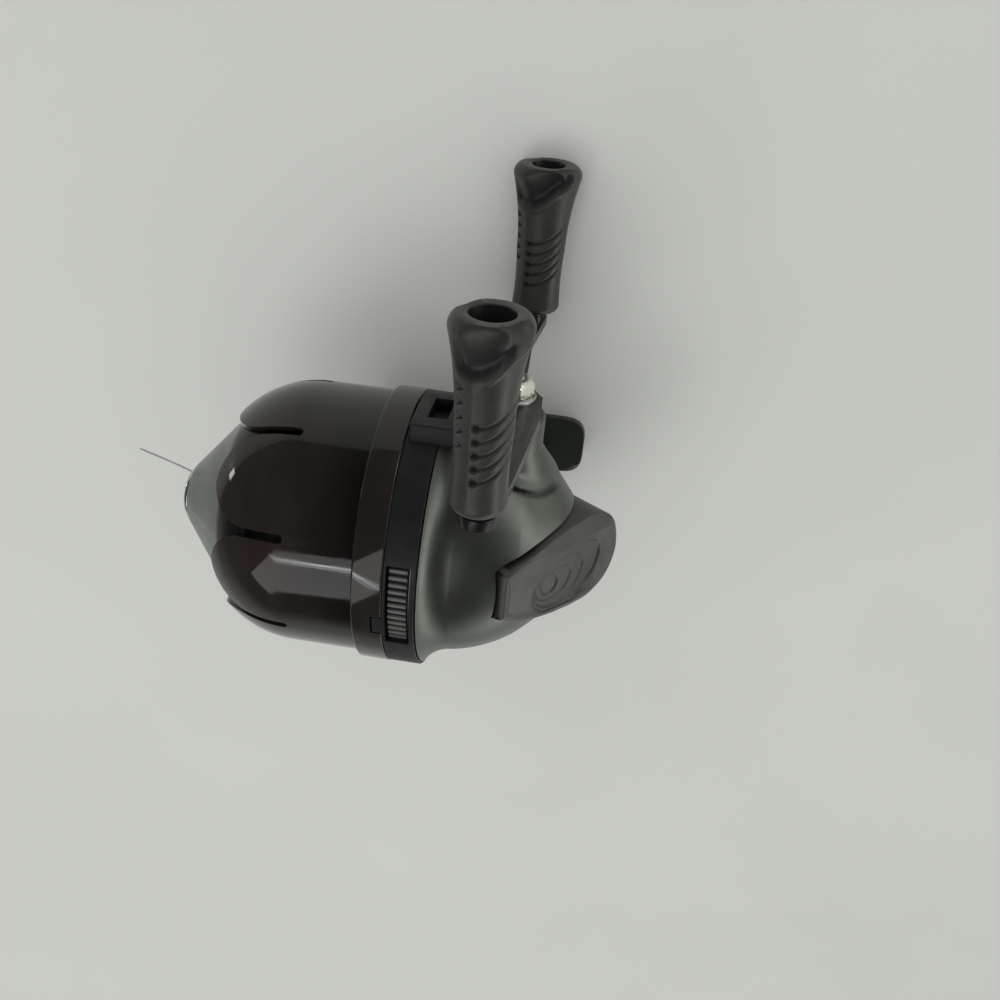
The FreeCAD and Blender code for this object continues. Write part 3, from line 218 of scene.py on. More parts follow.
def shade(piece):
    piece.data.shade_smooth()
    piece.data.set_sharp_from_angle(angle=SHARP)


def lathe(name, corners, place, steps=192, closed=True):
    """Turn an outline of (station, radius) about the X axis of its frame."""
    profile = outline(corners, closed)
    turns = [tau * i / steps for i in range(steps)]
    rows = [[(spot.x, spot.y * sin(turn), spot.y * cos(turn)) for turn in turns] for spot in profile]
    return from_grid(name, rows, place, wrap_rows=closed)


def bar(name, low, high, radius, place, steps, edge=0.0):
    """Round bar between two depths, with an eased far end."""
    return lathe(name, [(low, 0), (low, radius), (high, radius, 0, edge), (high, 0)], place, steps, False)


def slab(name, spots, low, high, place, axes="XY"):
    """Plate with a given outline, between two levels along its third axis."""
    order = {"XY": lambda a, b, c: (a, b, c), "XZ": lambda a, b, c: (a, -c, b),
             "YZ": lambda a, b, c: (c, a, b)}[axes]
    mesh = bmesh.new()
    bottom = [mesh.verts.new(order(spot[0], spot[1], low)) for spot in spots]
    top = [mesh.verts.new(order(spot[0], spot[1], high)) for spot in spots]
    mesh.faces.new(bottom)
    mesh.faces.new(reversed(top))
    for i in range(len(spots)):
        j = (i + 1) % len(spots)
        mesh.faces.new((bottom[i], top[i], top[j], bottom[j]))
    return close_up(name, mesh, place)


def rectangle(left, right, low, high, corner=0.0):
    spots = ((left, low), (right, low), (right, high), (left, high))
    return outline([(*spot, 0, corner) for spot in spots])


def bake(piece):
    """Turn what the modifiers make into the piece's own plain mesh, and shade it."""
    bpy.context.view_layer.update()
    seen = piece.evaluated_get(bpy.context.evaluated_depsgraph_get())
    plain = bpy.data.meshes.new_from_object(seen)
    old = piece.data
    piece.modifiers.clear()
    piece.data = plain
    bpy.data.meshes.remove(old)
    shade(piece)


def carve(piece, cutter, operation="DIFFERENCE"):
    """Cut one solid with another, or weld them, and remove the second."""
    change = piece.modifiers.new("carve", "BOOLEAN")
    change.operation = operation
    change.solver = "MANIFOLD"
    change.object = cutter
    bake(piece)
    bpy.data.objects.remove(cutter)


def ease_edges(piece, width, segments=2, angle=40):
    """Small rounding of the sharp edges."""
    change = piece.modifiers.new("edges", "BEVEL")
    change.width = width * MM
    change.segments = segments
    change.limit_method = "ANGLE"
    change.angle_limit = radians(angle)
    change.harden_normals = False
    bake(piece)


def ring_of(piece, shape, count, first_turn, material, cut=False):
    """Put copies of a shape round the spool axis, in one node tree: as solids of their own, or as cuts."""
    tree = bpy.data.node_groups.new("ring_of_copies", "GeometryNodeTree")
    tree.is_modifier = True
    tree.interface.new_socket("Geometry", in_out="INPUT", socket_type="NodeSocketGeometry")
    tree.interface.new_socket("Geometry", in_out="OUTPUT", socket_type="NodeSocketGeometry")
    settings = {}
    for label, kind, setting in (("Copy", "Object", shape), ("Count", "Int", count),
                                 ("First Turn", "Float", radians(first_turn)),
                                 ("Material", "Material", material)):
        socket = tree.interface.new_socket(label, in_out="INPUT", socket_type="NodeSocket" + kind)
        settings[socket.identifier] = setting
    net = Nodes(tree)
    given = net.add("NodeGroupInput").outputs
    spots = net.add("GeometryNodeMeshLine", {"Count": given["Count"], "Offset": (0, 0, 0)})
    copy = net.add("GeometryNodeObjectInfo", {"Object": given["Copy"]}, transform_space="ORIGINAL")
    number = net.add("GeometryNodeInputIndex").outputs[0]
    step = net.value("DIVIDE", tau, given["Count"])
    turn = net.value("MULTIPLY_ADD", number, step, given["First Turn"])
    angles = net.add("ShaderNodeCombineXYZ", {"X": turn})
    copies = net.add("GeometryNodeInstanceOnPoints", {
        "Points": spots.outputs["Mesh"], "Instance": copy.outputs["Geometry"],
        "Rotation": angles.outputs["Vector"]})
    solid = net.add("GeometryNodeRealizeInstances", {"Geometry": copies.outputs["Instances"]})
    placed = net.add("GeometryNodeTransform", {
        "Geometry": solid.outputs["Geometry"], "Translation": (RING_STATION * MM, 0, AXIS_HEIGHT * MM)})
    if cut:
        parts = {0: given["Geometry"], 1: placed.outputs["Geometry"], "Self Intersection": True}
        remainder = net.add("GeometryNodeMeshBoolean", parts, operation="DIFFERENCE", solver="EXACT")
        whole = remainder.outputs["Mesh"]
    else:
        both = net.add("GeometryNodeJoinGeometry")
        net.feed(both.inputs[0], given["Geometry"])
        net.feed(both.inputs[0], placed.outputs["Geometry"])
        whole = both.outputs["Geometry"]
    paint = net.add("GeometryNodeSetMaterial", {"Geometry": whole, "Material": given["Material"]})
    net.add("NodeGroupOutput", {"Geometry": paint.outputs["Geometry"]})
    change = piece.modifiers.new("ring_of_copies", "NODES")
    change.node_group = tree
    for identifier, setting in settings.items():
        change[identifier] = setting
    bake(piece)
    bpy.data.objects.remove(shape)


def fit(piece, body, *nodes, slot, material=None):
    """Paint a finished piece, tie it to its body and let it stand for its CAD nodes."""
    piece.data.materials.clear()
    piece.data.materials.append(material or FINISHES[slot])
    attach(piece, body)
    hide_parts(*nodes)


def paint_shade(piece, place, amount):
    """Keep with each point how much painted shade it gets; the finish darkens its colour there."""
    back = place.inverted()
    layer = piece.data.attributes.new("painted_shade", "FLOAT", "POINT")
    layer.data.foreach_set("value", [amount(back @ point.co) for point in piece.data.vertices])


def smooth(low, high, x):
    """0 below low, 1 above high, with a soft step between."""
    t = min(1.0, max(0.0, (x - low) / (high - low)))
    return t * t * (3 - 2 * t)


# Materials

class Nodes:
    """Short way to build a node tree."""

    def __init__(self, tree):
        self.tree = tree

    def add(self, kind, inputs=None, **settings):
        node = self.tree.nodes.new(kind)
        for key, setting in settings.items():
            setattr(node, key, setting)
        for key, source in (inputs or {}).items():
            self.feed(node.inputs[key], source)
        return node

    def feed(self, socket, source):
        if isinstance(source, bpy.types.NodeSocket):
            self.tree.links.new(source, socket)
        else:
            socket.default_value = source

    def value(self, operation, *given):
        return self.add("ShaderNodeMath", dict(enumerate(given)), operation=operation).outputs[0]

    def blend(self, factor, first, second):
        mix = self.add("ShaderNodeMix", {"Factor": factor, 6: first, 7: second}, data_type="RGBA")
        return mix.outputs[2]

    def spread(self, source, start, end, low, high, **settings):
        given = {"Value": source, "From Min": start, "From Max": end, "To Min": low, "To Max": high}
        return self.add("ShaderNodeMapRange", given, **settings).outputs["Result"]


NOISE_RANGE = (0.3, 0.7)
EDGE_RANGE = (0.53, 0.62)
WEAR_SIZE = 1.2
# Share of the colour that is left where the painted shade is at full strength.
PAINTED_SHADE_SHARE = 0.12


def scaled(colour, factor):
    return [min(1.0, part * factor) for part in colour] + [1.0]


def finish(name, colour, roughness, metallic=0.0, mottle=0.12, mottle_size=4.0, smudge=0.05,
           smudge_size=9.0, grain=0.0, grain_size=0.3, wear=0.0, stretch=(1, 1, 1), ior=1.46):
    """Material with mottled colour, uneven gloss, grain, worn edges and painted shade where a piece stores
    it. Sizes are in mm.
    """
    material = bpy.data.materials.new(name)
    material.use_nodes = True
    net = Nodes(material.node_tree)
    shader = material.node_tree.nodes["Principled BSDF"]
    place = net.add("ShaderNodeTexCoord").outputs["Object"]
    stretched = net.add("ShaderNodeMapping", {"Vector": place, "Scale": stretch}).outputs["Vector"]

    def noise(size, detail, vector=stretched):
        given = {"Vector": vector, "Scale": 1 / (size * MM), "Detail": detail}
        return net.add("ShaderNodeTexNoise", given).outputs["Fac"]

    shown = net.blend(net.spread(noise(mottle_size, 5.0), *NOISE_RANGE, 0.0, 1.0),
                      scaled(colour, 1 - mottle), scaled(colour, 1 + mottle))
    if wear:
        edge = net.add("ShaderNodeNewGeometry").outputs["Pointiness"]
        rubbed = net.value("MULTIPLY", net.spread(edge, *EDGE_RANGE, 0.0, wear),
                           net.spread(noise(WEAR_SIZE, 4.0, place), *NOISE_RANGE, 0.4, 1.0))
        shown = net.blend(rubbed, shown, scaled([part + 0.12 for part in colour], 1.5))
    # Painted shade: the colour is darkened where the piece stores painted shade.
    painted_shade = net.add("ShaderNodeAttribute", attribute_name="painted_shade").outputs["Fac"]
    net.feed(shader.inputs["Base Color"], net.blend(painted_shade, shown, scaled(colour, PAINTED_SHADE_SHARE)))
    ends = (max(0.02, roughness - smudge), roughness + smudge)
    net.feed(shader.inputs["Roughness"], net.spread(noise(smudge_size, 4.0), *NOISE_RANGE, *ends))
    shader.inputs["Metallic"].default_value = metallic
    shader.inputs["IOR"].default_value = ior
    if grain:
        height = noise(grain_size, 2.0)
        bump = net.add("ShaderNodeBump", {"Height": height, "Strength": 1.0, "Distance": grain * MM})
        net.feed(shader.inputs["Normal"], bump.outputs["Normal"])
    return material


# Finishes by material slot; the drag wheel and the foot have their own.
FINISHES = {
    "smoked_cover": finish(
        "smoked_gloss", (0.0148, 0.0108, 0.0088), 0.075, mottle=0.3, mottle_size=14, smudge=0.04,
        smudge_size=11, grain=0.008, grain_size=6.0, stretch=(2.2, 0.7, 0.7), ior=1.5, wear=0.05),
    "cone_metal": finish(
        "satin_cone", (0.135, 0.141, 0.131), 0.3, metallic=0.85, mottle=0.06, mottle_size=6,
        grain=0.004, grain_size=0.4, wear=0.2),
    "guide_metal": finish("bright_ring", (0.62, 0.64, 0.62), 0.14, metallic=1.0, mottle=0.05),
    "black_plastic": finish(
        "band_black", (0.0105, 0.012, 0.0115), 0.5, ior=1.33, mottle=0.18, smudge=0.08, grain=0.01,
        grain_size=0.35, wear=0.03),
    "body_grey": finish(
        "case_grey", (0.118, 0.126, 0.111), 0.38, metallic=0.95, mottle=0.09, mottle_size=7,
        grain=0.006, grain_size=0.22, wear=0.12),
    "button_grey": finish(
        "button_grey", (0.05, 0.0525, 0.044), 0.44, mottle=0.1, mottle_size=5, smudge=0.06, grain=0.01,
        grain_size=0.28, wear=0.2),
    "grip": finish(
        "grip_grey", (0.027, 0.0285, 0.0245), 0.42, mottle_size=3, smudge=0.06, grain=0.018,
        grain_size=0.35, wear=0.12),
    "arm_paint": finish(
        "arm_black", (0.021, 0.022, 0.0195), 0.34, metallic=0.2, smudge=0.08, grain=0.005,
        grain_size=0.4, wear=0.35),
    "nut_metal": finish(
        "nut_bright", (0.85, 0.84, 0.76), 0.2, metallic=0.95, mottle=0.08, smudge=0.08, wear=0.2),
    "steel": finish(
        "steel", (0.5, 0.5, 0.49), 0.3, metallic=1.0, mottle=0.08, smudge=0.08, stretch=(1, 6, 6),
        grain=0.004, grain_size=0.8),
    "brass": finish(
        "brass", (0.6, 0.44, 0.2), 0.28, metallic=1.0, mottle=0.1, smudge=0.08, grain=0.004,
        grain_size=0.8),
    "deck_metal": finish(
        "cast_metal", (0.34, 0.34, 0.33), 0.5, metallic=0.9, mottle=0.1, grain=0.02, grain_size=0.5),
    "felt": finish(
        "felt", (0.35, 0.33, 0.29), 0.95, mottle=0.25, mottle_size=0.6, grain=0.08, grain_size=0.15),
    "line": finish("line_grey", (0.3, 0.31, 0.29), 0.25, mottle=0.08, mottle_size=2.0),
}
FOOT_BLACK = finish("foot_black", (0.0145, 0.0185, 0.0145), 0.4, mottle=0.15, smudge=0.08, grain=0.008,
                    grain_size=0.5, wear=0.5)
WHEEL_GREY = finish("wheel_grey", (0.1, 0.103, 0.094), 0.5, smudge=0.08, grain=0.01, grain_size=0.4,
                    wear=0.25)


def paint_cad_nodes():
    """Give every CAD node the finish of its slot; those that are replaced stay hidden."""
    for part in frame["record"]["subparts"]:
        node = frame["nodes"][part["node"]]
        node.data.materials.clear()
        node.data.materials.append(FINISHES[part["material_slot"]])


# Camera, light and floor

CAMERA_SPOT = Vector((-33.634, -128.981, 248.665)) * MM
CAMERA_RIGHT = Vector((-0.98598, -0.07681, -0.14815))
CAMERA_AHEAD = Vector((0.08861, 0.51134, -0.85480))
SENSOR_WIDTH = 36.0
FOCAL_SHARE = 1.09264
ROOM_TINT = (0.985, 1.0, 0.975, 1)
ROOM_LEVEL = 0.78
ROOM_DIM = 0.07
# Narrow lamps side by side overhead: direction to the side, width, power.
TUBES = ((0.17, 0.012, 0.04), (0.205, 0.006, 0.02), (0.235, 0.018, 0.07), (0.29, 0.008, 0.03))
FLOOR_HALF = 4
FLOOR_GAP = 0.0004


def photo_camera():
    """Camera at the photograph's place; the focal length is a share of the picture's width."""
    data = bpy.data.cameras.new("camera")
    data.sensor_width = SENSOR_WIDTH
    data.lens = SENSOR_WIDTH * FOCAL_SHARE
    data.clip_start = 0.01
    camera = new_object("camera", data)
    back = -CAMERA_AHEAD.normalized()
    up = back.cross(CAMERA_RIGHT).normalized()
    right = up.cross(back)
    camera.matrix_world = Matrix.Translation(CAMERA_SPOT) @ Matrix((right, up, back)).transposed().to_4x4()
    bpy.context.scene.camera = camera


def softbox(name, direction, distance, width, height, power, target=(0, 0, 0.05)):
    """Rectangular lamp that looks at a spot from a direction; power in watts, the rest in metres."""
    data = bpy.data.lights.new(name, "AREA")
    data.shape = "RECTANGLE"
    data.size = width
    data.size_y = height
    data.energy = power
    lamp = new_object(name, data)
    away = Vector(direction).normalized()
    lamp.location = Vector(target) + away * distance
    lamp.rotation_mode = "QUATERNION"
    lamp.rotation_quaternion = away.to_track_quat("Z", "X")


def room_glow(net):
    """What shiny surfaces see of the room: a dark ceiling over a low horizon that is bright at the rear."""
    way = net.add("ShaderNodeTexCoord").outputs["Generated"]
    ways = net.add("ShaderNodeSeparateXYZ", {"Vector": way}).outputs

    def ramp(axis, *ends):
        return net.spread(ways[axis], *ends, interpolation_type="SMOOTHSTEP")

    # Each ramp says where it starts and ends along its axis, then the light there.
    sides = net.value("ADD", ramp("X", 0.1, -0.8, 0.04, 3.0), ramp("Y", 0.1, 0.9, 0.0, 0.3))
    low = net.value("MULTIPLY", sides, ramp("Z", 0.05, 0.4, 1.0, 0.0))
    return net.value("ADD", low, ROOM_DIM)


def studio():
    """Pale floor, even surround that looks dim in reflections, soft lamps overhead and a small window."""
    world = bpy.data.worlds.new("surround")
    bpy.context.scene.world = world
    world.use_nodes = True
    net = Nodes(world.node_tree)
    background = world.node_tree.nodes["Background"]
    mirrored = net.add("ShaderNodeLightPath").outputs["Is Glossy Ray"]
    level = net.add("ShaderNodeMix", {"Factor": mirrored, 2: ROOM_LEVEL, 3: room_glow(net)})
    net.feed(background.inputs["Color"], ROOM_TINT)
    net.feed(background.inputs["Strength"], level.outputs[0])
    softbox("overhead", (0.23, 0.28, 0.93), 0.75, 0.9, 0.3, 1.1)
    for number, (way, width, power) in enumerate(TUBES):
        softbox(f"tube_{number}", (way, 0.3, 0.93), 0.72, width, 0.26, power)
    softbox("window", (0.94, -0.22, -0.02), 0.6, 0.05, 0.06, 0.06, (0.03, -0.02, 0.06))
    corners = [(x * FLOOR_HALF, y * FLOOR_HALF, cad_box[0][2] - FLOOR_GAP)
               for x, y in ((-1, -1), (1, -1), (1, 1), (-1, 1))]
    mesh = bpy.data.meshes.new("floor")
    mesh.from_pydata(corners, [], [(0, 1, 2, 3)])
    mesh.materials.append(finish("floor_white", (0.635, 0.64, 0.61), 0.5, mottle=0.02, mottle_size=120,
                                 smudge=0.1, smudge_size=60))
    floor = new_object("floor", mesh)
    bpy.context.scene.view_settings.view_transform = "Standard"


# Line

LINE_ROUTE = ((22.35, 22.3), (25.7, 21.2), (28.2, 17.2), (38.3, 3.4), (43.6, 3.45), (45.6, 4.85),
              (58.0, 7.9))
LINE_DIAMETER = 0.4
PIN_TURN = 125


def fishing_line():
    """Line from the pickup pin over the cup and out through the guide."""
    curve = bpy.data.curves.new("line_end", "CURVE")
    curve.dimensions = "3D"
    curve.bevel_depth = LINE_DIAMETER / 2 * MM
    curve.bevel_resolution = 4
    curve.use_fill_caps = True
    curve.resolution_u = 12
    spline = curve.splines.new("NURBS")
    spline.points.add(len(LINE_ROUTE) - 1)
    turned = turned_place(PIN_TURN)
    for point, (station, reach) in zip(spline.points, LINE_ROUTE):
        point.co = (turned @ Vector((station, 0, reach))).to_4d()
    spline.order_u = 3
    spline.use_endpoint_u = True
    line = new_object("line_end", curve)
    fit(line, "rotor", "line_lead", slot="line")


# Front: dome with petals, cone and guide ring

COVER_RADIUS = 28.8
COVER_WALL = 1.3
COLLAR_RADIUS = 30.0
COLLAR_WALL = 1.7
COLLAR_DEPTH = 6.25
COLLAR_FLOOR = -0.2
SHOULDER = 15.5
DOME_ARC = 22.95
PETAL_TIP = 31.4
PETAL_COUNT = 8
PETAL_TURN = 19
SLOT_START = 15.0
SLOT_HALF = 0.95
TAB_START = 22.9
TAB_RADIUS = 8.5
CUT_PAST = 6.0


def dome_radius(station, arc):
    """Distance of the dome's outer or inner skin from the axis."""
    return COVER_RADIUS - DOME_ARC + sqrt(arc ** 2 - (station - SHOULDER) ** 2)


def dome():
    """Glossy smoked cover; eight slots end in flared notches, so that the skin ends in petals."""
    inner_arc = DOME_ARC - COVER_WALL
    shell = lathe("dome", [
        (-COLLAR_DEPTH, COLLAR_RADIUS - COLLAR_WALL), (-COLLAR_DEPTH, COLLAR_RADIUS, 0, 0.35),
        (0, COLLAR_RADIUS, 0, 0.45), (0, COVER_RADIUS, 0, 0.15), (SHOULDER, COVER_RADIUS),
        (PETAL_TIP, dome_radius(PETAL_TIP, DOME_ARC), DOME_ARC, 0.4),
        (PETAL_TIP, dome_radius(PETAL_TIP, inner_arc), 0, 0.3),
        (SHOULDER, COVER_RADIUS - COVER_WALL, -inner_arc), (COLLAR_FLOOR, COVER_RADIUS - COVER_WALL),
        (COLLAR_FLOOR, COLLAR_RADIUS - COLLAR_WALL),
    ], SPOOL, steps=SMOOTH_STEPS)
    side = dome_radius(PETAL_TIP, DOME_ARC) * sin(pi / PETAL_COUNT)
    tip = TAB_START + sqrt(TAB_RADIUS ** 2 - (side - SLOT_HALF - TAB_RADIUS) ** 2)
    slot = slab("slot", outline([
        (SLOT_START, SLOT_HALF, SLOT_HALF * 1.1), (TAB_START, SLOT_HALF), (tip, side, -TAB_RADIUS),
        (PETAL_TIP + CUT_PAST, side), (PETAL_TIP + CUT_PAST, -side),
        (tip, -side), (TAB_START, -SLOT_HALF, -TAB_RADIUS), (SLOT_START, -SLOT_HALF),
    ]), COVER_RADIUS / 2, COVER_RADIUS + 1, REEL)
    ring_of(shell, slot, PETAL_COUNT, PETAL_TURN, FINISHES["smoked_cover"], cut=True)
    half = KEY_HALF + SEAT_GAP
    notch = slab("notch", rectangle(-COLLAR_DEPTH - 1, -KEY_FRONT + SEAT_GAP, -half, half, 0.2),
                 COLLAR_RADIUS - 4, COLLAR_RADIUS + 1, turned_place(KEY_TURN))
    carve(shell, notch)
    # Painted shade: a dark line in the inner corner where the dome meets the step of the collar.
    paint_shade(shell, SPOOL, lambda spot: DARK * (1 - smooth(0.2, 0.5, abs(spot.x - 0.1)))
          * (1 - smooth(0.3, 0.6, abs(hypot(spot.y, spot.z) - COVER_RADIUS))))
    fit(shell, "frame", "front_cover", slot="smoked_cover")


NOSE_FACE = 42.9
NOSE_RADIUS = 6.9
NOSE_BORE = 4.5
NOSE_SHOULDER = 31.0
NOSE_LIP = 22.9
NOSE_INNER_BEND = 30.02
NOSE_INNER_RADIUS = 6.4
NOSE_WALL = 1.3
SEAT_GAP = 0.3
GUIDE_BORE = 4.0
GUIDE_BEAD = 0.93
GUIDE_PROUD = 0.4
GUIDE_SHANK = 1.8
FIT_GAP = 0.05


def nose_cone():
    """Satin cone; its broad flange lies under the petals and shows between them."""
    arc = DOME_ARC - COVER_WALL - SEAT_GAP
    inner_arc = arc - NOSE_WALL
    cone = lathe("nose_cone_skin", [
        (NOSE_LIP, dome_radius(NOSE_LIP, inner_arc), -inner_arc),
        (NOSE_LIP, dome_radius(NOSE_LIP, arc)),
        (NOSE_SHOULDER, dome_radius(NOSE_SHOULDER, arc), arc, 0.8), (NOSE_FACE, NOSE_RADIUS, 0, 0.7),
        (NOSE_FACE, NOSE_BORE, 0, 0.15), (NOSE_FACE - NOSE_WALL, NOSE_BORE),
        (NOSE_FACE - NOSE_WALL, NOSE_INNER_RADIUS),
        (NOSE_INNER_BEND, dome_radius(NOSE_INNER_BEND, inner_arc)),
    ], SPOOL)
    # Painted shade: the flange behind the cone's shoulder, which lies under the petals, is darkened.
    paint_shade(cone, SPOOL, lambda spot: 0.9 * smooth(NOSE_SHOULDER, NOSE_SHOULDER - 0.7, spot.x))
    fit(cone, "frame", "nose_cone", slot="cone_metal")


def guide_ring():
    """Polished ring in the cone's bore, with a round bead in front."""
    middle = GUIDE_BORE + GUIDE_BEAD
    station = NOSE_FACE + GUIDE_PROUD
    ring = lathe("guide_ring", [
        (NOSE_FACE - GUIDE_SHANK, GUIDE_BORE, 0, 0.2), (station, GUIDE_BORE),
        (station + GUIDE_BEAD, middle, -GUIDE_BEAD), (station, middle + GUIDE_BEAD, -GUIDE_BEAD),
        (NOSE_FACE + FIT_GAP, middle + 0.83 * GUIDE_BEAD), (NOSE_FACE + FIT_GAP, NOSE_BORE - FIT_GAP),
        (NOSE_FACE - GUIDE_SHANK, NOSE_BORE - FIT_GAP),
    ], SPOOL, steps=128)
    fit(ring, "frame", "line_guide", slot="guide_metal")


# Middle: band with its window, lug and key, and the drag wheel

SEAM = 12.8
BAND_RADIUS = 29.8
BAND_WALL = 1.0
BAND_WEB = 0.6
SPIGOT_RADIUS = 28.05
SPIGOT_WALL = 1.25
SPIGOT_END = 0.5
WINDOW_TURN = -3.3
WINDOW_HALF = 9.7
WINDOW_MARGIN = 1.0
LUG_FACE = 31.0
LUG_SEAT = 26.95
LUG_REAR = 16.5
LUG_FRONT = 7.0
LUG_BOTTOM = -2.5
LUG_TOP = 12.5
LUG_SLOT = (-13.9, -9.8, -0.5, 8.5)
LUG_SLOT_DEPTH = 2.4
KEY_TURN = -12.5
KEY_HALF = 2.15
KEY_FRONT = 4.3
KEY_TOP = 29.9


def band():
    """Black band between the covers, with the window, the slotted lug and the key of the collar."""
    spigot_inner = SPIGOT_RADIUS - SPIGOT_WALL
    web = COLLAR_DEPTH + BAND_WEB
    ring = lathe("band", [
        (-SEAM, BAND_RADIUS - BAND_WALL), (-SEAM, BAND_RADIUS, 0, 0.25),
        (-COLLAR_DEPTH - FIT_GAP, BAND_RADIUS, 0, 0.25), (-COLLAR_DEPTH - FIT_GAP, SPIGOT_RADIUS),
        (-SPIGOT_END, SPIGOT_RADIUS), (-SPIGOT_END, spigot_inner),
        (-web, spigot_inner), (-web, BAND_RADIUS - BAND_WALL),
    ], SPOOL, steps=SMOOTH_STEPS)
    edge = rectangle(-LUG_REAR, -LUG_FRONT, LUG_BOTTOM, LUG_TOP, 0.5)
    lug = slab("lug", edge, LUG_SEAT, LUG_FACE, CRANK_SIDE)
    ease_edges(lug, 0.35, 3)
    carve(ring, lug, "UNION")
    slot = slab("slot", rectangle(*LUG_SLOT, 0.4), LUG_FACE - LUG_SLOT_DEPTH, LUG_FACE + 1, CRANK_SIDE)
    carve(ring, slot)
    key = slab("key", rectangle(-web, -KEY_FRONT, -KEY_HALF, KEY_HALF, 0.3), spigot_inner + 0.5, KEY_TOP,
               turned_place(KEY_TURN))
    ease_edges(key, 0.2)
    carve(ring, key, "UNION")
    window = slab("window", rectangle(-SEAM + WINDOW_MARGIN, -web, -WINDOW_HALF, WINDOW_HALF, 0.4),
                  BAND_RADIUS / 2, BAND_RADIUS + 1, turned_place(WINDOW_TURN))
    carve(ring, window)
    rear, front, low, high = LUG_SLOT

    # Painted shade: the floor and walls deep in the lug's slot are darkened.
    def painted_shade(spot):
        inside = rear - 0.1 < spot.x < front + 0.1 and low - 0.1 < spot.z < high + 0.1
        return DARK * (inside and 0.3 < LUG_FACE + spot.y < 3.0)

    paint_shade(ring, SPOOL, painted_shade)
    fit(ring, "frame", "deck_ring", slot="black_plastic")


WHEEL_REAR = 11.2
WHEEL_FRONT = 7.1
WHEEL_RADIUS = 28.5
WHEEL_RIM = 2.5
WHEEL_WEB = 1.4
WHEEL_HUB = 8.0
WHEEL_TEETH = 112
TOOTH_DEPTH = 0.75
TUBE_GAP = 4.85


def drag_wheel():
    """Drag wheel; its fine teeth are copies of one tooth round the rim."""
    root = WHEEL_RADIUS - TOOTH_DEPTH
    middle = (WHEEL_REAR + WHEEL_FRONT) / 2
    rim = WHEEL_RADIUS - WHEEL_RIM
    wheel = lathe("drag_wheel_rim", [
        (-WHEEL_REAR, TUBE_GAP), (-WHEEL_REAR, WHEEL_HUB, 0, 0.3),
        (-middle - WHEEL_WEB / 2, WHEEL_HUB, 0, 0.4), (-middle - WHEEL_WEB / 2, rim, 0, 0.4),
        (-WHEEL_REAR, rim, 0, 0.2), (-WHEEL_REAR, root, 0, 0.2),
        (-WHEEL_FRONT, root, 0, 0.2), (-WHEEL_FRONT, rim, 0, 0.2),
        (-middle + WHEEL_WEB / 2, rim, 0, 0.4), (-middle + WHEEL_WEB / 2, WHEEL_HUB, 0, 0.4),
        (-WHEEL_FRONT, WHEEL_HUB, 0, 0.3), (-WHEEL_FRONT, TUBE_GAP),
    ], SPOOL, steps=WHEEL_TEETH)
    pitch = WHEEL_RADIUS * tau / WHEEL_TEETH
    foot, tip = 0.34 * pitch, 0.2 * pitch
    corners = [(-foot, root - 0.1), (foot, root - 0.1), (tip, WHEEL_RADIUS), (-tip, WHEEL_RADIUS)]
    tooth = slab("tooth", corners, -WHEEL_REAR + 0.15, -WHEEL_FRONT - 0.15, REEL, axes="YZ")
    ease_edges(tooth, 0.12)
    ring_of(wheel, tooth, WHEEL_TEETH, 0, WHEEL_GREY)
    # Painted shade: the wheel is darkened down in the gaps between the teeth.
    paint_shade(wheel, SPOOL, lambda spot: DARK * smooth(0.45, 0.1, hypot(spot.y, spot.z) - root))
    fit(wheel, "drag_wheel", "drag_wheel", slot="black_plastic", material=WHEEL_GREY)


# Gear case

RIM_RADIUS = 29.6
RIM_WALL = 2.0
WAIST = -18.8
HIP = -31.5
CASE_REAR = -44.0
CASE_FLOOR = -42.4
CASE_PROFILE = [
    (-SEAM, RIM_RADIUS - 0.5), (-SEAM, RIM_RADIUS, 0, 0.3), (WAIST, 25.65, 7.3), (HIP, 20.2, -29.0),
    (-42.6, 7.8, -60.0), (CASE_REAR, 5.5, -3.5), (CASE_REAR, 0.0),
]
CASE_INNER = [
    (CASE_FLOOR, 0.0), (CASE_FLOOR, 3.9), (-41.47, 6.67), (-30.37, 19.07, 58.4), (WAIST, 24.05, 27.4),
    (-SEAM, RIM_RADIUS - RIM_WALL, -8.9),
]
BOSS_FACE = 30.5
BOSS_RADIUS = 7.5
BOSS_KNEE = 23.5
FLARE_RADIUS = 16.5
FLARE_DEPTH = 8.6
BLEND = 1.2
LIP_RADIUS = 11.6
LIP_HEIGHT = 0.5
LIP_GROOVE = 0.15
SWING_GAP = 0.5
BUSHING_RADIUS = 4.5
OPENING_FLOOR = 20.6
LUG_GAP = 0.15
# Directions round the case, closer together on the boss: first, step and count.
CASE_TURNS = ((-130, 1.6, 113), (50.8, 0.8, 99), (130, 1.6, 63))
FACE_CLEAR = 43.0


def flare_reach(station, turn):
    """Distance from the spool axis, in a given direction, at which the boss's cone is met."""
    sine, cosine = sin(turn), cos(turn)
    if sine < 0.1 or abs(station + CRANK_STATION) > FLARE_RADIUS:
        return 0.0
    slope = (BOSS_KNEE - FLARE_DEPTH) / (FLARE_RADIUS - BOSS_RADIUS)
    low, high = 0.0, 40.0
    for _ in range(26):
        reach = (low + high) / 2
        away = hypot(station + CRANK_STATION, reach * cosine)
        level = BOSS_KNEE - (max(away, BOSS_RADIUS - 1.2) - BOSS_RADIUS) * slope
        if reach * sine < level:
            low = reach
        else:
            high = reach
    return low


def soft_larger(a, b, width):
    """The larger of two values, blended where they are close."""
    near = max(width - abs(a - b), 0) / width
    return max(a, b) + near * near * width / 4


def lip_share(along, up):
    """How strongly the round lip of the boss shows at a place beside the crank axis."""
    return smooth(0.2, 4.0, abs(up)) * (1 - smooth(4.0, 9.0, along))


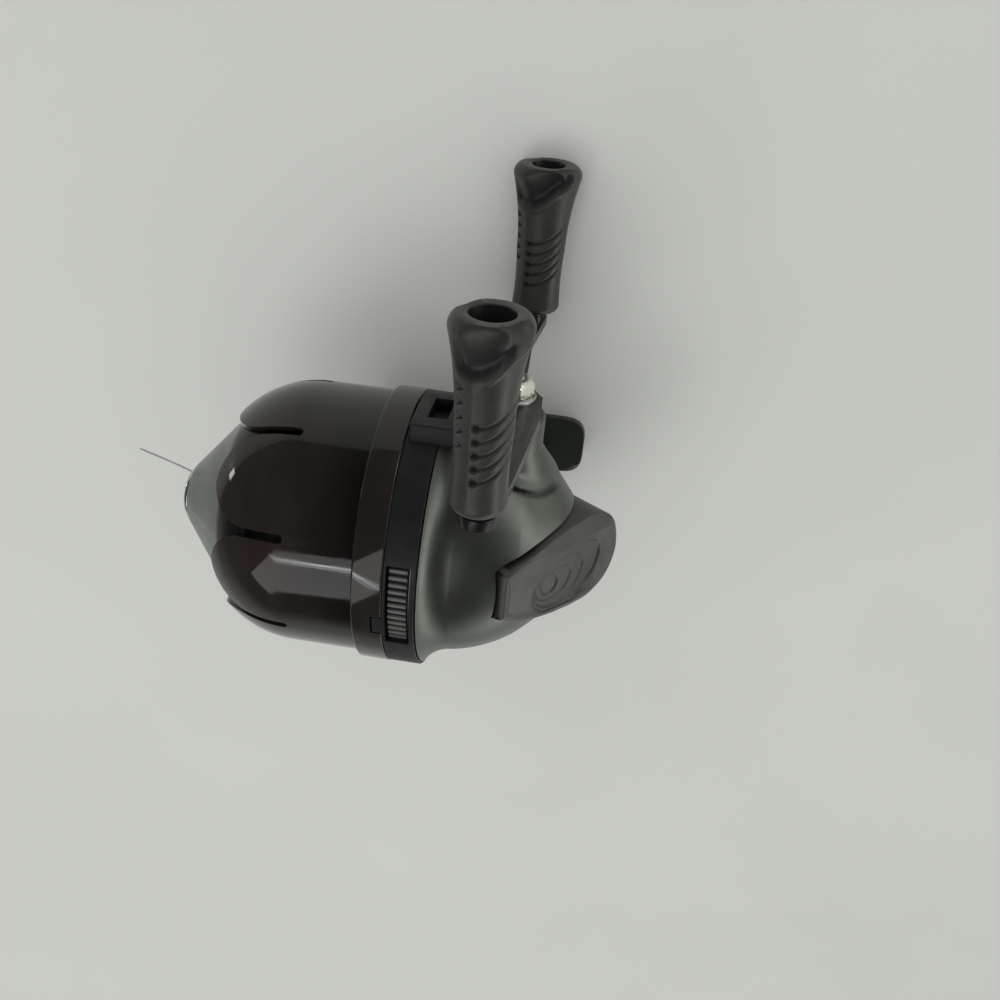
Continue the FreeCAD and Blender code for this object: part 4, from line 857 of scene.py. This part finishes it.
def case():
    """Gear case: shell that flows into the crank boss, with a lip round its foot, open for the button."""
    turns = [radians(start + step * i) for start, step, count in CASE_TURNS for i in range(count)]
    rows = []
    for station, radius in finer(outline(CASE_PROFILE, closed=False, grain=0.3), 0.6):
        row = []
        for turn in turns:
            reach = soft_larger(radius, flare_reach(station, turn), BLEND)
            along, up = station + CRANK_STATION, reach * cos(turn)
            away = hypot(along, up)
            if sin(turn) > 0.3 and away < LIP_RADIUS + 2:
                lip = LIP_HEIGHT * smooth(LIP_RADIUS - 3.0, LIP_RADIUS - 0.4, away)
                lip *= 1 - smooth(LIP_RADIUS - 0.15, LIP_RADIUS + 0.25, away)
                lip -= LIP_GROOVE * exp(-((away - LIP_RADIUS - 0.4) / 0.3) ** 2)
                reach += lip * lip_share(along, up)
            row.append((station, -reach * sin(turn), reach * cos(turn)))
        rows.append(row)
    for station, radius in outline(CASE_INNER, closed=False):
        rows.append([(station, -radius * sin(turn), radius * cos(turn)) for turn in turns])
    shell = from_grid("case", rows, SPOOL, wrap_rows=True)
    notch = rectangle(-LUG_REAR - LUG_GAP, -SEAM + 1, LUG_BOTTOM - LUG_GAP, LUG_TOP + LUG_GAP)
    carve(shell, slab("notch", notch, LUG_SEAT - LUG_GAP, LUG_FACE + 1, CRANK_SIDE))
    carve(shell, bar("boss", FLARE_DEPTH + 8, BOSS_FACE, BOSS_RADIUS, CRANK, 192, 0.7), "UNION")
    carve(shell, bar("bore", 8, BOSS_FACE + 1, BUSHING_RADIUS, CRANK, 96))
    carve(shell, slab("opening", button_outline(SWING_GAP), OPENING_FLOOR, FACE_CLEAR, BUTTON))

    skin = outline(CASE_PROFILE, closed=False)[::-1]

    # Painted shade: the inside of the shell is dark, and a thin dark line runs round the foot of the boss's
    # lip on the crank side.
    def painted_shade(spot):
        away = hypot(spot.y, spot.z)
        if away < along_steps(skin, spot.x) - 0.7:
            return 0.9
        along = spot.x + CRANK_STATION
        off = hypot(along, spot.z) - LIP_RADIUS - 0.2
        return 0.85 * exp(-(off / 0.35) ** 2) * lip_share(along, spot.z) if spot.y < 0 else 0.0

    paint_shade(shell, SPOOL, painted_shade)
    fit(shell, "frame", "rear_cover", slot="body_grey")


# Thumb button, in its tilted frame: along (towards the nose), across, level

BUTTON_FRONT = 1.8
BUTTON_FRONT_HALF = 5.0
KNEE = (-2.0, 7.0)
KNEE_ROUND = 9.0
SIDE_ARC = 80.0
ROUND_STATION = -23.5
ROUND_RADIUS = 10.4
FACE_FRONT = (3.8, 37.3)
FACE_REAR = (-35.9, 38.6)
FACE_ARC = 100.0
SKIRT_FRONT = 34.0
SKIRT_FRONT_STATION = -14.0
SKIRT_REAR = 24.4
BUTTON_WALL = 1.6
UNDERSIDE = 36.2
# Oval steps of the face, one inside the other: middle along and across, half length, half width.
OVALS = [(-11.9, 2.2, 2.4, 2.4), (-13.0, 2.1, 5.3, 3.7), (-14.6, 1.9, 7.8, 5.4), (-17.0, 1.8, 11.0, 6.7)]
OVAL_SLANT = radians(11.3)
OVAL_STEP = 0.38
OVAL_SOFT = 0.34
CAP_POINTS = 320
FACE_RINGS = 52
HEM = 0.25
CHAMFER_SLOPE = 0.45


def button_outline(grow=0.0):
    """Outline of the button from above its face, blunt in front and round behind."""
    side, rear, knee = -(SIDE_ARC + grow), -(ROUND_RADIUS + grow), -(KNEE_ROUND + grow)
    return outline([
        (BUTTON_FRONT + grow, 0), (BUTTON_FRONT + grow, BUTTON_FRONT_HALF + grow),
        (KNEE[0], KNEE[1] + grow, knee), (ROUND_STATION, ROUND_RADIUS + grow, side),
        (ROUND_STATION - ROUND_RADIUS - grow, 0, rear), (ROUND_STATION, -(ROUND_RADIUS + grow), rear),
        (KNEE[0], -(KNEE[1] + grow), side), (BUTTON_FRONT + grow, -(BUTTON_FRONT_HALF + grow), knee),
    ])


def even(spots, count):
    """The same closed outline with evenly spaced points."""
    lengths = [(spots[(i + 1) % len(spots)] - spot).length for i, spot in enumerate(spots)]
    total = sum(lengths)
    result, edge, passed = [], 0, 0.0
    for i in range(count):
        target = total * i / count
        while passed + lengths[edge] < target:
            passed += lengths[edge]
            edge += 1
        result.append(spots[edge].lerp(spots[(edge + 1) % len(spots)], (target - passed) / lengths[edge]))
    return result


def face_level(along):
    """Height of the button's convex top."""
    (front, front_level), (rear, rear_level) = FACE_FRONT, FACE_REAR
    chord = Vector((rear - front, rear_level - front_level))
    middle = Vector(((front + rear) / 2, (front_level + rear_level) / 2))
    down = Vector((-chord.y, chord.x)).normalized()
    centre = middle + down * sqrt(FACE_ARC ** 2 - chord.length_squared / 4)
    return centre.y + sqrt(FACE_ARC ** 2 - (along - centre.x) ** 2)


def skirt_level(along):
    tail = ROUND_STATION - ROUND_RADIUS
    share = min(1.0, max(0.0, (SKIRT_FRONT_STATION - along) / (SKIRT_FRONT_STATION - tail)))
    return SKIRT_FRONT + (SKIRT_REAR - SKIRT_FRONT) * share


def past_ovals(spot):
    """How far a place lies outside each oval, and whether it lies behind its middle."""
    for along, across, half_length, half_width in OVALS:
        way = Matrix.Rotation(-OVAL_SLANT, 2) @ Vector((spot.x - along, spot.y - across))
        share = hypot(way.x / half_length, way.y / half_width)
        yield way.length * (1 - 1 / max(share, 0.01)), smooth(0.2, -0.9, way.x / half_length)


def oval_drop(spot):
    """How far the oval steps lower the face at a place."""
    return sum(OVAL_STEP * smooth(OVAL_SOFT, -OVAL_SOFT, off) for off, behind in past_ovals(spot))


def chamfer_width(spot):
    """Width of the sloping border: narrow in front and on the far side, broad beside the thumb."""
    near = smooth(2.0, -5.0, spot.y)
    return 0.5 + (1.2 + 1.9 * near) * smooth(-2.0, -17.0, spot.x) * (1 - 0.6 * smooth(-26.0, -33.0, spot.x))


def dish_depth(here, spot):
    """Depth of the dish at a place on the way from the rim inwards; deepest and softest behind."""
    width = 1.5 + 4.5 * smooth(-22.0, -31.0, spot.x)
    return (0.38 + 1.0 * smooth(-14.0, -29.0, here.x)) * smooth(0.0, width, (spot - here).length)


def button():
    """Deep cap with a sloping border and a dished face with oval steps."""
    outer = even(button_outline(), CAP_POINTS)
    spine = [Vector((min(-5.0, max(ROUND_STATION + 1, spot.x)), 0)) for spot in outer]
    rows = []

    def row(inset, level):
        ring = []
        for spot, core in zip(outer, spine):
            here = spot + (core - spot).normalized() * min(inset(spot), (core - spot).length)
            ring.append((here.x, here.y, level(spot, here.x)))
        rows.append(ring)

    row(lambda spot: BUTTON_WALL, lambda spot, x: UNDERSIDE)
    row(lambda spot: BUTTON_WALL, lambda spot, x: skirt_level(x))
    row(lambda spot: HEM, lambda spot, x: skirt_level(x))
    row(lambda spot: 0.0, lambda spot, x: skirt_level(x) + HEM)
    for inward, drop in ((0.0, 2.5), (0.0, 1.4), (0.0, 0.35), (0.12, 0.1)):
        row(lambda spot: inward, lambda spot, x: face_level(x) - CHAMFER_SLOPE * chamfer_width(spot) - drop)
    row(lambda spot: chamfer_width(spot) * 0.9, lambda spot, x: face_level(x) - 0.08)
    row(lambda spot: chamfer_width(spot) + 0.15, lambda spot, x: face_level(x) - 0.05)
    rim = [Vector(spot[:2]) for spot in rows[-1]]
    for number in range(1, FACE_RINGS + 1):
        share = 1 - number / FACE_RINGS
        ring = []
        for spot, core in zip(rim, spine):
            here = core.lerp(spot, share)
            height = face_level(here.x) - 0.05 - dish_depth(here, spot) - oval_drop(here)
            ring.append((here.x, here.y, height))
        rows.append(ring)
    cap = from_grid("button_cap", rows, BUTTON)
    fill_ring(cap)

    # Painted shade: the walls of the front part darken below the face's edge, thin dark lines follow the
    # oval steps and are stronger behind their middles, and the rear of the dish is darker.
    def painted_shade(spot):
        below = face_level(spot.x) - spot.z
        half = KNEE[1] + (ROUND_RADIUS - KNEE[1]) * (KNEE[0] - spot.x) / (KNEE[0] - ROUND_STATION)
        if abs(spot.y) > half - 0.5 or spot.x > BUTTON_FRONT - 0.5:
            return DARK * smooth(0.7, 1.6, below) * smooth(-11.0, -5.0, spot.x)
        lines = max((0.12 + 0.3 * behind) * exp(-((off + 0.15) / 0.3) ** 2)
                    for off, behind in past_ovals(spot))
        inside = smooth(0.1, 1.2, below) * (1 - smooth(1.9, 2.4, below))
        return max(lines, 0.6 * inside * smooth(-26.5, -29.0, spot.x) * smooth(9.5, 7.5, abs(spot.y)))

    paint_shade(cap, BUTTON, painted_shade)
    fit(cap, "button", "thumb_button", slot="button_grey")


def fill_ring(piece):
    """Close the open underside of a cap."""
    mesh = bmesh.new()
    mesh.from_mesh(piece.data)
    bmesh.ops.holes_fill(mesh, edges=[edge for edge in mesh.edges if edge.is_boundary])
    bmesh.ops.recalc_face_normals(mesh, faces=mesh.faces)
    mesh.to_mesh(piece.data)
    mesh.free()
    shade(piece)


# Crank side: arm, nut, shaft end and knobs

ARM_INNER = 31.8
ARM_THICKNESS = 2.0
TIP_HALF = 3.1
STUD_RADIUS = 2.0
STUD_END = 40.5
SHAFT_RADIUS = 2.5
SHAFT_INNER_END = 3.2
THREAD_PITCH = 0.7
THREAD_DEPTH = 0.3
SPACER_RADIUS = 4.2
SPACER_GAP = 0.03
SPINDLE_RADIUS = 1.8
SPINDLE_HEAD = 3.0
SPINDLE_HEAD_HEIGHT = 2.0
RUN_GAP = 0.05


def crank_arm():
    """Flat S-shaped arm with eased edges; one half is drawn and turned for the other."""
    half = [(ARM_LEAN - TIP_HALF, -ARM_REACH, TIP_HALF + 0.1), (-0.7, -31.0), (-1.7, -14.0),
            (-6.4, -1.5, -22.0), (-7.0, 8.7), (-5.6, 29.0), (-(ARM_LEAN + TIP_HALF), ARM_REACH)]
    turned = [(-corner[0], -corner[1], *corner[2:]) for corner in half]
    arm = slab("crank_arm", outline(half + turned), ARM_INNER, ARM_INNER + ARM_THICKNESS, CRANK, axes="YZ")
    for place, radius in ((CRANK, STUD_RADIUS), (FRONT_KNOB, SPINDLE_RADIUS), (REAR_KNOB, SPINDLE_RADIUS)):
        hole = bar("hole", ARM_INNER - 1, ARM_INNER + ARM_THICKNESS + 1, radius + FIT_GAP, place, 64)
        carve(arm, hole)
    ease_edges(arm, 0.3, 3, 50)

    # Painted shade: the arm is darkened round its ends, under the knobs.
    def painted_shade(spot):
        away = min(hypot(spot.y + way * ARM_LEAN, spot.z - way * ARM_REACH) for way in (1, -1))
        return DARK * (1 - smooth(4.5, 9.0, away))

    paint_shade(arm, CRANK, painted_shade)
    fit(arm, "crank", "crank_arm", slot="arm_paint")


NUT_ACROSS = 8.0
NUT_FLOOR = 34.65
NUT_HEIGHT = 3.4
NUT_STEPS = 144
WASHER_RADIUS = 5.2
WASHER_FLOOR = 33.85
WASHER_HEIGHT = 0.75


def arm_nut():
    """Six-sided nut whose corners are turned down at both ends, on a round washer."""
    half = NUT_ACROSS / 2
    corner = half / cos(pi / 6)
    hole = STUD_RADIUS + FIT_GAP
    profile = [(0, hole + 0.2), (0, half - 0.1), (0.15, half + 0.15), (0.5, corner),
               (NUT_HEIGHT - 0.75, corner), (NUT_HEIGHT - 0.2, half + 0.05), (NUT_HEIGHT, half - 0.4),
               (NUT_HEIGHT, hole + 0.35), (NUT_HEIGHT - 0.35, hole), (0.2, hole)]
    rows = []
    for rise, limit in profile:
        row = []
        for i in range(NUT_STEPS):
            turn = tau * i / NUT_STEPS
            flat = half / cos((turn + pi / 6) % (pi / 3) - pi / 6)
            reach = min(flat, limit)
            row.append((NUT_FLOOR + rise, reach * sin(turn), reach * cos(turn)))
        rows.append(row)
    nut = from_grid("arm_nut", rows, CRANK, wrap_rows=True)
    fit(nut, "crank", "arm_nut", slot="nut_metal")
    low, top = WASHER_FLOOR, WASHER_FLOOR + WASHER_HEIGHT
    corners = [(low, hole), (low, WASHER_RADIUS), (top, WASHER_RADIUS, 0, 0.25), (top, hole)]
    washer = lathe("arm_washer", corners, CRANK, steps=96)
    fit(washer, "crank", "arm_washer", slot="steel")


def crank_shaft():
    """Shaft through the boss; its thinner end is threaded for the nut."""
    corners = [(SHAFT_INNER_END, 0), (SHAFT_INNER_END, SHAFT_RADIUS, 0, 0.2), (ARM_INNER, SHAFT_RADIUS),
               (ARM_INNER, STUD_RADIUS)]
    start = NUT_FLOOR - 0.5
    turns = int((STUD_END - 0.4 - start) / THREAD_PITCH)
    for number in range(turns):
        station = start + number * THREAD_PITCH
        corners += [(station, STUD_RADIUS), (station + THREAD_PITCH / 2, STUD_RADIUS - THREAD_DEPTH)]
    corners += [(STUD_END - 0.45, STUD_RADIUS), (STUD_END, STUD_RADIUS - 0.4), (STUD_END, 0)]
    shaft = lathe("crank_shaft", corners, CRANK, steps=72, closed=False)
    fit(shaft, "crank", "crank_shaft", slot="steel")
    low, high, bore = BOSS_FACE + 2 * RUN_GAP, ARM_INNER - FIT_GAP, SHAFT_RADIUS + SPACER_GAP
    corners = [(low, bore), (low, SPACER_RADIUS, 0, 0.15), (high, SPACER_RADIUS, 0, 0.15), (high, bore)]
    spacer = lathe("crank_spacer", corners, CRANK, steps=96)
    fit(spacer, "crank", "crank_spacer", slot="steel")


KNOB_INNER = 35.3
KNOB_END = 69.4
KNOB_PROFILE = [
    (KNOB_INNER, SPINDLE_RADIUS + RUN_GAP), (KNOB_INNER, 4.0), (36.9, 5.2, 1.8), (50.0, 5.2, -90.0),
    (67.0, 7.2, -70.0), (KNOB_END, 5.9, 2.4),
]
KNOB_BORE = 3.7
KNOB_FLOOR = 52.0
KNOB_HALF = 6.2
MARK_COUNT = 5
GROOVE_TOP = 52.2
GROOVE_PITCH = 2.45
GROOVE_START = 90.0
GROOVE_SPAN = 88.0
GROOVE_RISE = 4.6
GROOVE_DEPTH = 0.32
DENT_DEPTH = 0.6
NOTCH_TOP = 58.3
NOTCH_PITCH = 2.5
NOTCH_TIP = 57.0
NOTCH_DEPTH = 0.5
SCOOP_DEPTH = 0.95
# Darkness of the painted shade in the scoop.
SCOOP_DARK = 0.84
EDGE_RISE = 0.22
FLAT_RISE = 0.14
KNOB_STEPS = 216
# Lower edge of the scoop under the knob's end: depth by angle from the front.
SCOOP_EDGE = [(40, 60.2), (70, 59.7), (90, 60.3), (109, 61.5), (124, 63.2), (136, 64.6), (174, 66.6)]


def groove_depth(depth, angle):
    """Grooves that start in a deep dent and sweep up and round the grip in a thin line."""
    past = angle - GROOVE_START
    rise = GROOVE_RISE * (max(0.0, past) / GROOVE_SPAN) ** 1.5
    number = min(MARK_COUNT - 1, max(0, round((GROOVE_TOP + rise - depth) / GROOVE_PITCH)))
    off = depth - GROOVE_TOP - rise + number * GROOVE_PITCH
    dent = exp(-((past + 7) / 7) ** 4 - (off / 0.5) ** 2)
    line = exp(-(off / 0.28) ** 2) * smooth(-8.0, 0.0, past) * (1 - smooth(76.0, GROOVE_SPAN, past))
    return max(DENT_DEPTH * dent, GROOVE_DEPTH * line)


def notch_depth(depth, angle):
    """Short three-sided dents in a row beside the flat of the grip."""
    number = min(MARK_COUNT - 1, max(0, round((NOTCH_TOP - depth) / NOTCH_PITCH)))
    off = abs(depth - NOTCH_TOP + number * NOTCH_PITCH)
    half = 0.75 * (NOTCH_TIP - angle) / 20
    return NOTCH_DEPTH * smooth(-0.15, 0.2, half - off) * smooth(33.0, 39.0, angle)


def scoop_depth(depth, angle):
    """Bowl under the knob's end, deepest just inside its lower edge."""
    past = depth - along_steps(SCOOP_EDGE, angle)
    inside = smooth(30.0, 52.0, angle) * (1 - smooth(150.0, 176.0, angle))
    return SCOOP_DEPTH * smooth(-0.2, 2.6, past) * (1 - smooth(2.0, 8.0, past)) * inside


def scoop_shade(depth, angle):
    """Painted shade in the bowl, which fades out upwards."""
    past = depth - along_steps(SCOOP_EDGE, angle)
    inside = smooth(24.0, 46.0, angle) * (1 - smooth(150.0, 176.0, angle))
    return SCOOP_DARK * smooth(-0.3, 1.6, past) * (1 - smooth(3.5, 9.0, past)) * inside


def grip_relief(depth, angle):
    """How far the skin of a knob is cut in at a place, less what is raised there."""
    past = depth - along_steps(SCOOP_EDGE, angle)
    edge = EDGE_RISE * exp(-((past + 0.45) / 0.5) ** 2)
    edge *= smooth(84.0, 100.0, angle) * (1 - smooth(165.0, 178.0, angle))
    flat = FLAT_RISE * exp(-((angle - 75.0) / 9.0) ** 2)
    flat *= smooth(37.0, 39.0, depth) * (1 - smooth(58.0, 60.0, depth))
    marks = max(groove_depth(depth, angle), notch_depth(depth, angle))
    return marks + scoop_depth(depth, angle) - edge - flat


def knob(name, place, width, lead):
    """Waisted grip with flattened faces, cut grooves, a scoop under its end and a deep bore."""
    profile = outline(KNOB_PROFILE, closed=False, grain=0.25)
    skin = profile[:1] + finer(profile[1:], 0.3)
    turns = [tau * i / KNOB_STEPS for i in range(KNOB_STEPS)]

    def pattern(turn):
        return (degrees(turn) - lead) % 180

    rows = []
    for spot in skin:
        row = []
        for turn in turns:
            reach = spot.y
            if reach > KNOB_BORE - 0.5:
                flat = KNOB_HALF / max(0.05, abs(sin(turn)))
                reach = -soft_larger(-reach, -flat, 0.8)
                reach -= grip_relief(spot.x, pattern(turn))
            row.append((spot.x, reach * cos(turn) * width, reach * sin(turn)))
        rows.append(row)
    for depth, radius in ((KNOB_END, KNOB_BORE + 0.35), (KNOB_END - 0.1, KNOB_BORE + 0.1),
                          (KNOB_END - 0.35, KNOB_BORE), (KNOB_FLOOR, KNOB_BORE),
                          (KNOB_FLOOR, SPINDLE_RADIUS + RUN_GAP)):
        rows.append([(depth, radius * cos(turn), radius * sin(turn)) for turn in turns])
    grip = from_grid(name + "_knob", rows, place, wrap_rows=True)

    # Painted shade: dark down the bore, in the grooves and notches, and in the scoop under the end.
    def painted_shade(spot):
        if hypot(spot.y, spot.z) < KNOB_BORE + 0.2 and spot.x > KNOB_FLOOR - 0.1:
            return smooth(KNOB_END, KNOB_END - 0.5, spot.x)
        angle = pattern(atan2(spot.z, spot.y / width))
        cut = max(groove_depth(spot.x, angle), 1.3 * notch_depth(spot.x, angle))
        return min(0.92, 1.7 * cut + scoop_shade(spot.x, angle))

    paint_shade(grip, place, painted_shade)
    fit(grip, name + "_knob", name + "_knob", slot="grip")
    floor = KNOB_FLOOR + RUN_GAP
    top = floor + SPINDLE_HEAD_HEIGHT
    spindle = lathe(name + "_spindle", [
        (ARM_INNER, 0), (ARM_INNER, SPINDLE_RADIUS, 0, 0.2), (floor, SPINDLE_RADIUS),
        (floor, SPINDLE_HEAD), (top, SPINDLE_HEAD - 0.2, 0, 1.4), (top, 0),
    ], place, steps=64, closed=False)
    fit(spindle, "crank", name + "_spindle", slot="steel")


# Foot

FOOT_HALF_LENGTH = 28.0
FOOT_HALF_WIDTH = 7.5
FOOT_THICKNESS = 2.0
FOOT_CORNER = 5.0
STEM_HALF = 5.0
STEM_SIDE = [(-29.0, 1.0), (4.0, 1.0), (-2.0, 28.3), (-25.0, 28.3)]
SEAT_FRONT = 16.0


def foot():
    """Flat foot with a rubbed edge, and the stem that is hollowed to the case."""
    edge = rectangle(-FOOT_HALF_LENGTH, FOOT_HALF_LENGTH, -FOOT_HALF_WIDTH, FOOT_HALF_WIDTH, FOOT_CORNER)
    plate = slab("reel_foot", edge, 0, FOOT_THICKNESS, REEL)
    ease_edges(plate, 0.35, 3)
    stem = slab("stem", [(station + RING_STATION, level) for station, level in STEM_SIDE],
                -STEM_HALF, STEM_HALF, REEL, axes="XZ")
    ease_edges(stem, 0.9, 4)
    carve(plate, stem, "UNION")
    carve(plate, lathe("seat", [
        (HIP, 0), (HIP, 20.25), (WAIST, 25.7, 29.0), (-SEAM, RIM_RADIUS + FIT_GAP, -7.3),
        (-SEAM, COLLAR_RADIUS + SEAT_GAP), (SEAT_FRONT, COLLAR_RADIUS + SEAT_GAP), (SEAT_FRONT, 0),
    ], SPOOL, closed=False))
    fit(plate, "frame", "reel_foot", slot="black_plastic", material=FOOT_BLACK)


photo_camera()
fishing_line()
studio()
paint_cad_nodes()
dome()
nose_cone()
guide_ring()
band()
drag_wheel()
case()
button()
crank_arm()
arm_nut()
crank_shaft()
knob("front", FRONT_KNOB, 0.94, 0.0)
knob("rear", REAR_KNOB, 1.07, -18.0)
foot()
